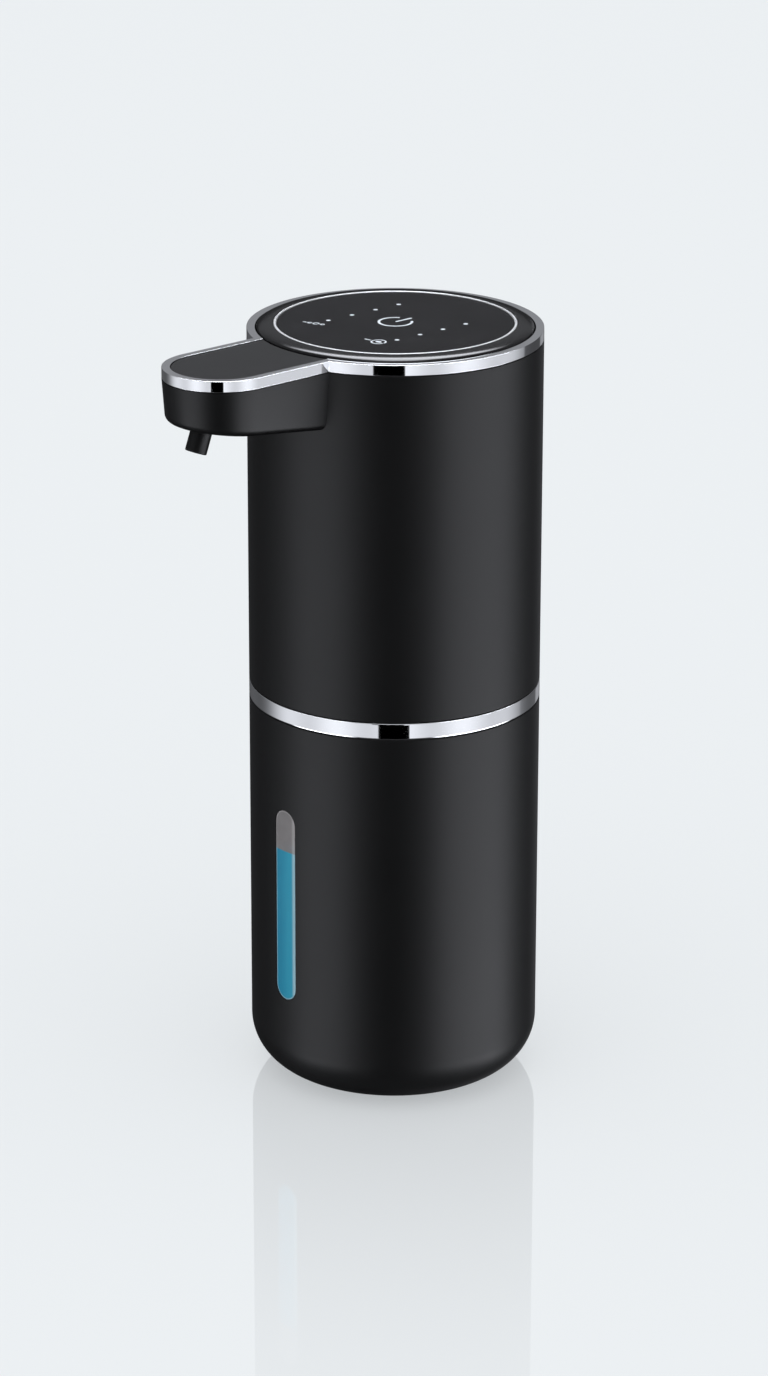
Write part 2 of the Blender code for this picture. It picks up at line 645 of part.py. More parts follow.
def make_bottle():
    """Bottle shell: round foot with a seat for the pad, straight wall, shoulder and neck."""
    foot_centre = BODY_RADIUS - FOOT_ROUND
    foot_z = BOTTLE_LOW + FOOT_ROUND
    seat_radius = PAD_RADIUS + GAP
    seat_z = PAD_THICKNESS + GAP
    outline = [(0, seat_z), (seat_radius, seat_z), (seat_radius, BOTTLE_LOW)]
    outline += arc(foot_centre, foot_z, FOOT_ROUND, FOOT_ROUND, -math.pi / 2, 0, FOOT_ROUND_STEPS)
    outline += [
        (BODY_RADIUS, BOTTLE_HEIGHT),
        (NECK_RADIUS, BOTTLE_HEIGHT),
        (NECK_RADIUS, NECK_TOP),
        (NECK_INSIDE, NECK_TOP),
        (NECK_INSIDE, BOTTLE_HEIGHT - WALL),
        (INSIDE_RADIUS, BOTTLE_HEIGHT - WALL),
    ]
    outline += arc(foot_centre, foot_z, FOOT_ROUND - WALL, FOOT_ROUND - BOTTLE_FLOOR,
                   0, -math.pi / 2, FOOT_INSIDE_STEPS)
    outline += [(0, BOTTLE_INSIDE_LOW)]
    bottle = turned("bottle_shell", outline, SATIN_BLACK)

    middle = (WINDOW_LOW + WINDOW_HIGH) / 2
    half_length = (WINDOW_HIGH - WINDOW_LOW) / 2
    slot = moved(capsule(half_length, WINDOW_WIDTH / 2, EDGE_STEPS, upright=True), 0, middle)
    cutter = prism("window_slot", slot, INSIDE_RADIUS - OVERRUN, BODY_RADIUS + OVERRUN, None, FACING_FRONT)
    cut(bottle, cutter)

    pad = [(0, 0), (PAD_RADIUS, 0), (PAD_RADIUS, PAD_THICKNESS), (0, PAD_THICKNESS)]
    turned("foot_pad", pad, SILICONE_BLACK, MIDDLE_STEPS)
    return middle, half_length


def make_sight_window(middle, half_length):
    """Clear insert that fills the slot, with a flange behind the wall."""
    low, high = BOTTLE_INSIDE_LOW, BOTTLE_HEIGHT
    lens_outline = capsule(half_length - SEAM, WINDOW_WIDTH / 2 - SEAM, EDGE_STEPS, upright=True)
    flange_outline = capsule(half_length + WINDOW_FLANGE, WINDOW_WIDTH / 2 + WINDOW_FLANGE,
                             EDGE_STEPS, upright=True)
    flange_radius = INSIDE_RADIUS - GAP
    flange_inside = flange_radius - WINDOW_FLANGE_THICKNESS
    depth_inside = flange_inside - WINDOW_FLANGE
    lens_shell = tube("lens_shell", BODY_RADIUS, flange_inside, low, high, None)
    flange_shell = tube("flange_shell", flange_radius, flange_inside, low, high, None)
    flange = prism("window_flange", moved(flange_outline, 0, middle), depth_inside,
                   BODY_RADIUS, None, FACING_FRONT)
    trim(flange, flange_shell)
    window = prism("sight_window", moved(lens_outline, 0, middle), depth_inside,
                   BODY_RADIUS + OVERRUN, CLEAR_PLASTIC, FACING_FRONT)
    trim(window, lens_shell)
    join(window, flange)


def make_neck_seal():
    """Flat seal on the neck, with a lip inside it that keeps it there."""
    lip_outside = NECK_INSIDE - GAP
    lip_inside = lip_outside - SEAL_LIP_THICKNESS
    high = SEAL_LOW + SEAL_THICKNESS
    outline = [
        (lip_inside, NECK_TOP - SEAL_LIP_DEPTH),
        (lip_outside, NECK_TOP - SEAL_LIP_DEPTH),
        (lip_outside, SEAL_LOW),
        (NECK_RADIUS, SEAL_LOW),
        (NECK_RADIUS, high),
        (lip_inside, high),
    ]
    turned("neck_seal", outline, SILICONE_CLEAR, MIDDLE_STEPS)


def make_base_deck():
    """Deck of the head: collar over the neck, skirt in the housing, spigot for the suction tube."""
    low = BOTTLE_HEIGHT + GAP
    outline = [
        (0, DECK_LOW), (COLLAR_INSIDE, DECK_LOW), (COLLAR_INSIDE, low), (COLLAR_OUTSIDE, low),
        (COLLAR_OUTSIDE, DECK_LOW), (SKIRT_INSIDE, DECK_LOW), (SKIRT_INSIDE, low), (DECK_RADIUS, low),
        (DECK_RADIUS, DECK_HIGH), (0, DECK_HIGH),
    ]
    deck = turned("base_deck", outline, NYLON_GREY)
    chamber_radius = VALVE_RADIUS + SLIP
    spigot_radius = chamber_radius + SPIGOT_WALL
    middle = (DECK_LOW + DECK_HIGH) / 2
    join(deck, tube("spigot", spigot_radius, 0, SPIGOT_LOW, middle, None, SMALL_STEPS, at(MESH_X, INLET_Y)))
    boss_radius = FRAME_SCREW[2] + BOSS_RADIUS / 2
    pilot_low = FRAME_BASE_HIGH - FRAME_SCREW[3] - GAP
    for number, (x, y) in enumerate(FRAME_SCREW_PLACES, 1):
        join(deck, tube(f"frame_boss_{number}", boss_radius, 0, DECK_LOW - FRAME_BOSS_HEIGHT, middle, None,
                        SCREW_STEPS, at(x, y)))
        cut(deck, hole(f"frame_pilot_{number}", x, y, FRAME_SCREW[2] + SEAM, pilot_low, DECK_HIGH + OVERRUN))
    seat_radius = TUBE_RADIUS + SLIP
    passage = [
        (0, SPIGOT_LOW - OVERRUN), (seat_radius, SPIGOT_LOW - OVERRUN), (seat_radius, CHAMBER_LOW),
        (chamber_radius, CHAMBER_LOW), (chamber_radius, DECK_HIGH + OVERRUN), (0, DECK_HIGH + OVERRUN),
    ]
    cut(deck, turned("valve_passage", passage, None, SMALL_STEPS, at(MESH_X, INLET_Y)))
    for number, angle in enumerate(DECK_SCREW_ANGLES, 1):
        x, y = polar(BOSS_CIRCLE, angle)
        cut(deck, hole(f"deck_hole_{number}", x, y, SMALL_SCREW[2] + SEAM,
                       DECK_LOW - OVERRUN, DECK_HIGH + OVERRUN))
        screw(f"deck_screw_{number}", SMALL_SCREW, (x, y, DECK_LOW - SEAM), STEEL, pointing_up=True)


def make_mid_trim_ring():
    """Bright ring between bottle and housing, round the skirt of the deck."""
    inner = DECK_RADIUS + GAP
    outline = [
        (inner, MID_RING_LOW), (BODY_RADIUS, MID_RING_LOW),
        (BODY_RADIUS, MID_RING_HIGH), (inner, MID_RING_HIGH),
    ]
    turned("mid_trim_ring", outline, CHROME)


def spout_underside(y):
    """Height of the spout's underside, which rises towards the tip."""
    return BAND_LOW - SPOUT_DEPTH_AT_ROOT + SPOUT_RISE_SHARE * (-y - SPOUT_ROOT)


def spout_outline(half_width, root_radius):
    """Plan of the spout: round tip, parallel sides, and a root that follows a circle round the axis."""
    tip = arc(0, -SPOUT_CENTRE, half_width, half_width, -math.pi, 0, SPOUT_TIP_STEPS)
    root_angle = math.asin(half_width / root_radius)
    root = arc(0, 0, root_radius, root_radius, -math.pi / 2 + root_angle,
               -math.pi / 2 - root_angle, SPOUT_ROOT_STEPS)
    return tip + root


def spout_form(name, half_width, root_radius, high, lift):
    """The spout as a loft: straight rim, drafted sides and a rounded lower edge."""
    rings = [[Vector((x, y, high)) for x, y in spout_outline(half_width, root_radius)]]
    levels = arc(0, SPOUT_EDGE_ROUND, SPOUT_EDGE_ROUND, SPOUT_EDGE_ROUND, 0, -math.pi / 2, EDGE_STEPS)
    for across, up in levels:
        inset = SPOUT_DRAFT + SPOUT_EDGE_ROUND - across
        outline = spout_outline(half_width - inset, root_radius)
        rings.append([Vector((x, y, spout_underside(y) + lift + up)) for x, y in outline])
    rings.reverse()
    return skinned(name, rings, None)


def make_upper_housing():
    """Barrel and spout in one moulding, with its ledge, screw bosses and the pad round the inlet."""
    ledge_radius = INSIDE_RADIUS - LEDGE_WIDTH
    ledge_low = LEDGE_HIGH - LEDGE_HEIGHT
    outline = [
        (INSIDE_RADIUS, HOUSING_LOW), (BODY_RADIUS, HOUSING_LOW), (BODY_RADIUS, HOUSING_HIGH),
        (INSIDE_RADIUS, HOUSING_HIGH), (INSIDE_RADIUS, LEDGE_HIGH), (ledge_radius, LEDGE_HIGH),
        (ledge_radius, ledge_low), (INSIDE_RADIUS, ledge_low - LEDGE_WIDTH),
    ]
    housing = turned("upper_housing", outline, SATIN_BLACK)

    middle_of_wall = BODY_RADIUS - WALL / 2
    join(housing, spout_form("spout_shell", SPOUT_HALF_WIDTH, middle_of_wall, HOUSING_HIGH, 0))
    cavity_root = ledge_radius - OVERRUN
    cut(housing, spout_form("spout_cavity", SPOUT_INSIDE, cavity_root, HOUSING_HIGH + OVERRUN, WALL))

    wall_reach = middle_of_wall - BOSS_CIRCLE
    for number, angle in enumerate(DECK_SCREW_ANGLES, 1):
        low, high = DECK_HIGH + GAP, DECK_HIGH + GAP + BOSS_HEIGHT
        run = wall_reach / 2
        outline = moved(capsule(run + BOSS_RADIUS, BOSS_RADIUS, EDGE_STEPS), BOSS_CIRCLE + run, 0)
        boss = prism(f"boss_{number}", outline, low, high, None, Matrix.Rotation(angle, 4, 'Z'))
        trim(boss, tube(f"boss_limit_{number}", middle_of_wall, 0, low - OVERRUN, high + OVERRUN, None))
        join(housing, boss)
        x, y = polar(BOSS_CIRCLE, angle)
        cut(housing, hole(f"boss_pilot_{number}", x, y, SMALL_SCREW[2] + SEAM,
                          low - OVERRUN, DECK_LOW + SMALL_SCREW[3] + GAP))

    boss = block("port_boss", (-PORT_BOSS_HALF_WIDTH, PORT_BOSS_Y, PORT_Z - PORT_BOSS_HALF_HEIGHT),
                 (PORT_BOSS_HALF_WIDTH, BODY_RADIUS, PORT_Z + PORT_BOSS_HALF_HEIGHT), None)
    trim(boss, tube("port_boss_limit", middle_of_wall, 0, HOUSING_LOW, HOUSING_HIGH, None))
    flap = rounded_rectangle(FLAP_HALF_WIDTH + GAP, FLAP_HALF_HEIGHT + GAP, FLAP_CORNER + GAP, EDGE_STEPS)
    pocket = prism("flap_pocket", moved(flap, 0, PORT_Z), PORT_BOSS_Y, BODY_RADIUS + OVERRUN,
                   None, FACING_BACK)
    pocket_floor = BODY_RADIUS - FLAP_THICKNESS - GAP
    trim(pocket, tube("pocket_depth", BODY_RADIUS + OVERRUN, pocket_floor, HOUSING_LOW, HOUSING_HIGH, None))
    mouth = capsule(SOCKET_HALF_WIDTH + GAP, SOCKET_HALF_HEIGHT + GAP, EDGE_STEPS)
    opening = prism("socket_opening", moved(mouth, 0, PORT_Z), PORT_BOSS_Y - OVERRUN,
                    BODY_RADIUS + OVERRUN, None, FACING_BACK)
    join(housing, boss)
    cut(housing, pocket, opening)
    return housing


def nozzle_frame():
    """Frame of the nozzle: its Z runs up along the tilted tube, from the spout's underside."""
    place = Vector((0, -NOZZLE_REACH, spout_underside(-NOZZLE_REACH)))
    return Matrix.Translation(place) @ Matrix.Rotation(-NOZZLE_TILT, 4, 'X')


def make_nozzle(housing):
    """Tilted outlet tube with its elbow, the flange on the spout's floor and the barb for the hose."""
    frame = nozzle_frame()
    base = frame.translation
    rise = HOSE_HIGH - base.z
    elbow = rise / math.cos(NOZZLE_TILT)
    elbow_y = base.y + rise * math.tan(NOZZLE_TILT)
    cut(housing, tube("nozzle_hole", NOZZLE_RADIUS + GAP, 0, -WALL - OVERRUN, 2 * WALL + OVERRUN,
                      None, SMALL_STEPS, frame))
    tip_edge = NOZZLE_RADIUS - NOZZLE_BORE
    flange_low = WALL + NOZZLE_FLANGE * math.sin(NOZZLE_TILT) / 2 + GAP
    flange_high = flange_low + NOZZLE_FLANGE_THICKNESS
    outline = [
        (0, -NOZZLE_BELOW), (NOZZLE_RADIUS - tip_edge / 3, -NOZZLE_BELOW),
        (NOZZLE_RADIUS, -NOZZLE_BELOW + tip_edge / 3), (NOZZLE_RADIUS, flange_low),
        (NOZZLE_FLANGE, flange_low), (NOZZLE_FLANGE, flange_high), (NOZZLE_RADIUS, flange_high),
        (NOZZLE_RADIUS, elbow + NOZZLE_RADIUS / 2), (NOZZLE_RADIUS / 2, elbow + NOZZLE_RADIUS),
        (0, elbow + NOZZLE_RADIUS),
    ]
    nozzle = turned("nozzle", outline, GLOSS_BLACK, SMALL_STEPS, frame)
    elbow_back = elbow_y + NOZZLE_RADIUS * (1 / math.cos(NOZZLE_TILT) + math.tan(NOZZLE_TILT))
    barb_tip = elbow_back + BARB_LENGTH
    barb_frame = Matrix.Translation((0, 0, HOSE_HIGH)) @ FACING_BACK
    join(nozzle, tube("nozzle_barb", BARB_RADIUS, 0, elbow_y, barb_tip, None, SCREW_STEPS, barb_frame))
    cut(nozzle, tube("nozzle_bore", NOZZLE_BORE, 0, -NOZZLE_BELOW - OVERRUN, elbow + BARB_BORE, None,
                     SMALL_STEPS, frame))
    cut(nozzle, tube("barb_bore", BARB_BORE, 0, elbow_y, barb_tip + OVERRUN, None,
                     SCREW_STEPS, barb_frame))
    return elbow_back


def make_outlet_hose(hose_end):
    """Soft hose from the pump's barb up the front of the barrel and out through the spout."""
    start_y = PUMP_FRONT - GAP
    end_y = hose_end + GAP
    bend = HOSE_ROOM
    route = [
        (MESH_X, start_y, OUTLET_Z),
        (MESH_X, BARB_TIP_Y, OUTLET_Z),
        (MESH_X, (BARB_TIP_Y + 3 * HOSE_Y) / 4, OUTLET_Z + bend / 4),
        (MESH_X, HOSE_Y, OUTLET_Z + bend),
        (MESH_X / 2, HOSE_Y, (OUTLET_Z + HOSE_HIGH) / 2),
        (0, HOSE_Y, HOSE_HIGH - 2 * bend),
        (0, HOSE_Y - bend / 12, HOSE_HIGH - bend),
        (0, HOSE_Y - bend / 2, HOSE_HIGH - bend / 4),
        (0, HOSE_Y - bend, HOSE_HIGH),
        (0, (HOSE_Y - bend + end_y) / 2, HOSE_HIGH),
        (0, end_y, HOSE_HIGH),
    ]
    places = smooth_route(route, 2)
    bore = BARB_RADIUS + SLIP
    outer = rings_along(places, bore + HOSE_WALL, HOSE_SIDES)
    inner = rings_along(places, bore / math.cos(math.pi / HOSE_SIDES), HOSE_SIDES)
    skinned("outlet_hose", outer + inner[::-1], SILICONE_CLEAR, joined=True)


def teardrop(radius, half_width):
    """Plan of the rim: a circle round the barrel that runs out into the spout."""
    junction = math.asin(half_width / radius)
    back = arc(0, 0, radius, radius, -math.pi / 2 + junction, 3 * math.pi / 2 - junction,
               ROUND_STEPS - ROUND_STEPS // 8)
    tip = arc(0, -SPOUT_CENTRE, half_width, half_width, -math.pi, 0, SPOUT_TIP_STEPS)
    return back + tip


def make_top_trim_ring():
    """Bright teardrop ring on the housing, with a small chamfer on its outer edge."""
    def ring(inset, height):
        return [Vector((x, y, height)) for x, y in teardrop(BODY_RADIUS - inset, SPOUT_HALF_WIDTH - inset)]
    rings = [
        ring(0, BAND_LOW), ring(0, RIM_HIGH - BAND_EDGE), ring(BAND_EDGE, RIM_HIGH),
        ring(BAND_WIDTH, RIM_HIGH), ring(BAND_WIDTH, BAND_LOW),
    ]
    skinned("top_trim_ring", rings, CHROME, joined=True)


def make_spout_cover():
    """Dark deck let into the spout's rim: a shallow tray turned over, its skirt inside the housing."""
    high = RIM_HIGH - COVER_RECESS
    low = RIM_HIGH - COVER_SKIRT
    under = high - COVER_THICKNESS
    outside = SPOUT_HALF_WIDTH - BAND_WIDTH - SEAM
    outside_root = BEZEL_RADIUS + GAP

    def ring(inset, height):
        outline = spout_outline(outside - inset, outside_root + inset)
        return [Vector((x, y, height)) for x, y in outline]
    skirt = [ring(COVER_WALL, under), ring(COVER_WALL + GAP, low), ring(GAP, low)]
    skinned("spout_cover", skirt + [ring(0, under), ring(0, high)], SATIN_BLACK)


def make_panel_bezel():
    """Glossy shoulder round the panel, with the shelf under it and bosses for the control board."""
    shelf_high = PANEL_LOW - SEAM
    shelf_low = shelf_high - BEZEL_SHELF
    start = RIM_HIGH - CROWN_OVER_PANEL
    skirt_inside = BEZEL_RADIUS - BEZEL_WALL
    outline = [(BEZEL_RADIUS, BEZEL_LOW)]
    outline += arc(CROWN_RADIUS, start, SHOULDER_WIDTH, CROWN_HIGH - start, 0, math.pi / 2, SHOULDER_STEPS)
    outline += [
        (CROWN_RADIUS, shelf_high), (SHELF_INSIDE, shelf_high), (SHELF_INSIDE, shelf_low),
        (skirt_inside, shelf_low), (skirt_inside, BEZEL_LOW),
    ]
    bezel = turned("panel_bezel", outline, GLOSS_BLACK)
    boss_radius = BOARD_SCREW[2] + BOSS_RADIUS / 2
    pilot_radius = BOARD_SCREW[2] + SEAM
    pilot_high = BOARD_LOW + BOARD_SCREW[3] + SEAM
    middle = (shelf_low + shelf_high) / 2
    for number, angle in enumerate(BOARD_SCREW_ANGLES, 1):
        x, y = polar(BOARD_RADIUS - BOARD_SCREW_INSET, angle)
        join(bezel, tube(f"board_boss_{number}", boss_radius, 0, BOARD_HIGH + SEAM, middle, None,
                         SCREW_STEPS, at(x, y)))
        cut(bezel, hole(f"board_pilot_{number}", x, y, pilot_radius, BOARD_HIGH - OVERRUN, pilot_high))
        screw(f"board_screw_{number}", BOARD_SCREW, (x, y, BOARD_LOW - SEAM), STEEL, pointing_up=True)


def make_touch_panel():
    """Glass disc of the touch panel, and the thin bright ring round it."""
    outline = [
        (0, PANEL_LOW), (PANEL_RADIUS, PANEL_LOW), (PANEL_RADIUS, PANEL_HIGH - PANEL_EDGE),
        (PANEL_RADIUS - PANEL_EDGE, PANEL_HIGH), (0, PANEL_HIGH),
    ]
    turned("touch_panel", outline, PANEL_GLASS)
    tube("accent_ring", ACCENT_RADIUS, ACCENT_RADIUS - ACCENT_WIDTH, PANEL_LOW, CROWN_HIGH, CHROME)


def make_control_board():
    """Round board with a chip and a connector below, and screw holes at its edge."""
    screws = [polar(BOARD_RADIUS - BOARD_SCREW_INSET, angle) for angle in BOARD_SCREW_ANGLES]
    holes = [circle(x, y, BOARD_SCREW[2] + SEAM) for x, y in screws]
    board = plate("control_board", circle(0, 0, BOARD_RADIUS, MIDDLE_STEPS), holes,
                  BOARD_LOW, BOARD_HIGH, BOARD_GREEN)
    x, y = CONNECTOR_X, CONNECTOR_Y
    middle = (BOARD_LOW + BOARD_HIGH) / 2
    join(board, block("chip", (-x - CHIP_HALF_SIZE, -y - CHIP_HALF_SIZE, BOARD_LOW - CHIP_HEIGHT),
                      (-x + CHIP_HALF_SIZE, -y + CHIP_HALF_SIZE, middle), None))
    length, width, height = CONNECTOR_SIZE
    high = BOARD_LOW - SEAM
    block("board_connector", (x - length / 2, y - width / 2, high - height),
          (x + length / 2, y + width / 2, high), NYLON_WHITE)
    return Vector((x, y, high - height))


def light_places():
    """Places of the small lights: two rows, one each side of the power symbol."""
    first = -LIGHT_PITCH * (LIGHTS_IN_A_ROW - 1) / 2
    rows = (-LIGHT_LATERAL, LIGHT_LATERAL)
    return [(x, first + LIGHT_PITCH * i) for x in rows for i in range(LIGHTS_IN_A_ROW)]


def make_light_mask():
    """Black block between board and panel, with a well for each light, symbol and the touch spring."""
    wells = [circle(x, y, LIGHT_RADIUS) for x, y in light_places()]
    wells += [circle(side * LIGHT_LATERAL, -ICON_ALONG, ICON_RADIUS) for side in (-1, 1)]
    wells.append(circle(0, 0, SPRING_RADIUS + SPRING_WIRE + SPRING_ROOM, SMALL_STEPS))
    plate("light_mask", circle(0, 0, MASK_RADIUS, MIDDLE_STEPS), wells, MASK_LOW, MASK_HIGH, NYLON_GREY)


def make_touch_spring():
    """Coil between the board's touch pad and the panel."""
    low = MASK_LOW + SPRING_WIRE
    rise = MASK_HIGH - SPRING_WIRE - low
    count = SPRING_TURNS * SPRING_POINTS_PER_TURN
    route = []
    for i in range(count + 1):
        angle = math.tau * i / SPRING_POINTS_PER_TURN
        x, y = polar(SPRING_RADIUS, angle)
        route.append(Vector((x, y, low + rise * i / count)))
    skinned("touch_spring", rings_along(route, SPRING_WIRE, SPRING_SIDES), STEEL)


def make_frame():
    """Inner frame: base on the deck, upright web with side flanges, cradles for cell and motor."""
    frame = tube("chassis_frame", FRAME_RADIUS, 0, FRAME_LOW, FRAME_BASE_HIGH, NYLON_WHITE, MIDDLE_STEPS)
    foot = (FRAME_LOW + FRAME_BASE_HIGH) / 2
    high = CELL_HIGH - CABLE_ROOM
    join(frame, block("web", (-WEB_HALF_WIDTH, WEB_FRONT, foot), (WEB_HALF_WIDTH, WEB_BACK, high), None))
    for number, side in enumerate((-1, 1), 1):
        edges = sorted((side * WEB_HALF_WIDTH, side * (WEB_HALF_WIDTH - WEB_THICKNESS)))
        join(frame, block(f"flange_{number}", (edges[0], WEB_FRONT - FLANGE_WIDTH, foot),
                          (edges[1], WEB_BACK + FLANGE_WIDTH, high - CABLE_ROOM), None))
    half = CRADLE_HEIGHT / 2
    middle = (WEB_FRONT + WEB_BACK) / 2
    for number, share in enumerate(CELL_CRADLE_SHARES, 1):
        z = CELL_LOW + share * CELL_LENGTH
        join(frame, block(f"cell_cradle_{number}", (-CRADLE_HALF_WIDTH, middle, z - half),
                          (CRADLE_HALF_WIDTH, CELL_Y, z + half), None))
    z = MOTOR_LOW + MOTOR_CRADLE_SHARE * MOTOR_LENGTH
    join(frame, block("motor_cradle", (-CRADLE_HALF_WIDTH, MOTOR_Y, z - half),
                      (CRADLE_HALF_WIDTH, middle, z + half), None))
    cut(frame, tube("cell_space", CELL_RADIUS + GAP, 0, FRAME_BASE_HIGH + SEAM, high + OVERRUN,
                    None, MIDDLE_STEPS, at(0, CELL_Y)))
    cut(frame, tube("motor_space", MOTOR_RADIUS + GAP, 0, PUMP_COVER_HIGH, high + OVERRUN,
                    None, MIDDLE_STEPS, at(0, MOTOR_Y)))
    valve_hole = VALVE_RADIUS + SLIP
    cut(frame, hole("valve_hole", MESH_X, INLET_Y, valve_hole, FRAME_LOW - OVERRUN,
                    FRAME_BASE_HIGH + SEAM, SMALL_STEPS))
    for number, (x, y) in enumerate(FRAME_SCREW_PLACES, 1):
        cut(frame, hole(f"frame_hole_{number}", x, y, FRAME_SCREW[2] + SEAM, FRAME_LOW - OVERRUN,
                        FRAME_BASE_HIGH + OVERRUN))
        screw(f"chassis_screw_{number}", FRAME_SCREW, (x, y, FRAME_BASE_HIGH + SEAM), STEEL)


def strap_outline(radius):
    """Half ring with an ear at each end, open towards -v."""
    inside = radius + GAP
    outside = inside + STRAP_THICKNESS
    rise = math.asin(STRAP_THICKNESS / outside)
    inner = arc(0, 0, inside, inside, math.pi, 0, STRAP_STEPS)
    outer = arc(0, 0, outside, outside, rise, math.pi - rise, STRAP_STEPS)
    ear = outside + STRAP_EAR
    return inner + [(ear, 0), (ear, STRAP_THICKNESS)] + outer + [(-ear, STRAP_THICKNESS), (-ear, 0)]


def make_straps():
    """Straps that hold the cell and the motor in their cradles."""
    cell_z = CELL_LOW + CELL_CRADLE_SHARES[-1] * CELL_LENGTH
    motor_z = MOTOR_LOW + MOTOR_CRADLE_SHARE * MOTOR_LENGTH
    half = STRAP_HEIGHT / 2
    prism("battery_strap", strap_outline(CELL_RADIUS), cell_z - half, cell_z + half, STEEL,
          at(0, CELL_Y + GAP))
    turn = at(0, MOTOR_Y - GAP) @ Matrix.Rotation(math.pi, 4, 'Z')
    prism("motor_strap", strap_outline(MOTOR_RADIUS), motor_z - half, motor_z + half, STEEL, turn)


def make_cell():
    """Rechargeable cell with its raised cap."""
    shoulder = CELL_HIGH - CELL_CAP_HEIGHT
    outline = [
        (0, CELL_LOW), (CELL_RADIUS, CELL_LOW), (CELL_RADIUS, shoulder - CELL_EDGE),
        (CELL_RADIUS - CELL_EDGE, shoulder), (CELL_CAP_RADIUS, shoulder),
        (CELL_CAP_RADIUS, CELL_HIGH), (0, CELL_HIGH),
    ]
    turned("battery_cell", outline, CELL_WRAP, MIDDLE_STEPS, at(0, CELL_Y))


def make_motor():
    """Motor can with its nose in the pump cover, the end cap with two tags, and the long shaft."""
    bore = SHAFT_RADIUS + SEAM
    nose_low = MOTOR_LOW - MOTOR_NOSE_HEIGHT
    outline = [
        (bore, nose_low), (MOTOR_NOSE_RADIUS, nose_low), (MOTOR_NOSE_RADIUS, MOTOR_LOW),
        (MOTOR_RADIUS - MOTOR_EDGE, MOTOR_LOW), (MOTOR_RADIUS, MOTOR_LOW + MOTOR_EDGE),
        (MOTOR_RADIUS, MOTOR_HIGH), (bore, MOTOR_HIGH),
    ]
    place = at(0, MOTOR_Y)
    turned("motor_can", outline, STEEL, MIDDLE_STEPS, place)
    cap = tube("motor_end_cap", MOTOR_RADIUS - GAP, 0, MOTOR_CAP_LOW, MOTOR_CAP_HIGH, NYLON_WHITE,
               MIDDLE_STEPS, place)
    middle = (MOTOR_CAP_LOW + MOTOR_CAP_HIGH) / 2
    for number, side in enumerate((-1, 1), 1):
        x = side * MOTOR_TAG_SPACING / 2
        join(cap, block(f"tag_{number}", (x - MOTOR_TAG_THICKNESS / 2, MOTOR_Y - MOTOR_TAG_WIDTH / 2, middle),
                        (x + MOTOR_TAG_THICKNESS / 2, MOTOR_Y + MOTOR_TAG_WIDTH / 2,
                         MOTOR_CAP_HIGH + MOTOR_TAG_HEIGHT), None))
    shaft = tube("motor_shaft", SHAFT_RADIUS, 0, GEAR_LOW, MOTOR_HIGH - GAP, STEEL, SHAFT_STEPS)
    shaft.location = (0, MOTOR_Y, 0)


def gear_outline():
    """Involute spur gear: flanks from the base circle to the tip, with backlash taken off each tooth."""
    base = PITCH_RADIUS * math.cos(PRESSURE_ANGLE)
    root = PITCH_RADIUS - GEAR_DEDENDUM_SHARE * GEAR_MODULE
    involute_at_pitch = math.tan(PRESSURE_ANGLE) - PRESSURE_ANGLE
    half_tooth = math.pi / (2 * GEAR_TEETH) - GEAR_BACKLASH / (2 * PITCH_RADIUS)
    flank = []
    for i in range(FLANK_STEPS + 1):
        radius = base + (GEAR_RADIUS - base) * i / FLANK_STEPS
        slope = math.acos(min(1.0, base / radius))
        flank.append((radius, half_tooth + involute_at_pitch - (math.tan(slope) - slope)))
    flank.insert(0, (root, flank[0][1]))
    points = []
    for tooth in range(GEAR_TEETH):
        centre = math.tau * tooth / GEAR_TEETH
        points += [polar(radius, centre - angle) for radius, angle in flank]
        points += [polar(radius, centre + angle) for radius, angle in reversed(flank)]
    return points


def make_gears():
    """Drive gear on the motor's shaft and the idler beside it, half a tooth apart."""
    outline = gear_outline()
    bore = SHAFT_RADIUS + SLIP
    half_pitch = Matrix.Rotation(math.pi / GEAR_TEETH, 4, 'Z')
    for name, x, turn in (("drive_gear", 0, Matrix.Identity(4)), ("idler_gear", GEAR_CENTRES, half_pitch)):
        gear = prism(name, outline, GEAR_LOW, GEAR_HIGH, NYLON_WHITE, turn)
        gear.location = (x, MOTOR_Y, 0)
        cutter = tube(f"{name}_bore", bore, 0, GEAR_LOW - OVERRUN, GEAR_HIGH + OVERRUN, None, SHAFT_STEPS)
        cutter.location = gear.location
        cut(gear, cutter)


def pump_corners():
    """Places of the screws that close the pump."""
    left = -PUMP_HALF_DEPTH + PUMP_SCREW_INSET
    right = GEAR_CENTRES + PUMP_HALF_DEPTH - PUMP_SCREW_INSET
    front = MOTOR_Y - PUMP_HALF_DEPTH + PUMP_SCREW_INSET
    back = MOTOR_Y + PUMP_HALF_DEPTH - PUMP_SCREW_INSET
    return [(left, front), (right, front), (right, back), (left, back)]


def pump_outline():
    """Plan of the pump: a rounded block round both gears."""
    half_width = GEAR_CENTRES / 2 + PUMP_HALF_DEPTH
    outline = rounded_rectangle(half_width, PUMP_HALF_DEPTH, PUMP_CORNER, CORNER_STEPS)
    return moved(outline, MESH_X, MOTOR_Y)


def pocket_outline():
    """Plan of the pocket that the gears turn in: two circles that meet at their cusps."""
    cusp = math.atan2(CUSP_Y, MESH_X)
    left = arc(0, 0, POCKET_RADIUS, POCKET_RADIUS, cusp, math.tau - cusp, POCKET_STEPS)
    right = arc(GEAR_CENTRES, 0, POCKET_RADIUS, POCKET_RADIUS, math.pi + cusp,
                3 * math.pi - cusp, POCKET_STEPS)
    return moved(left[:-1] + right[:-1], 0, MOTOR_Y)


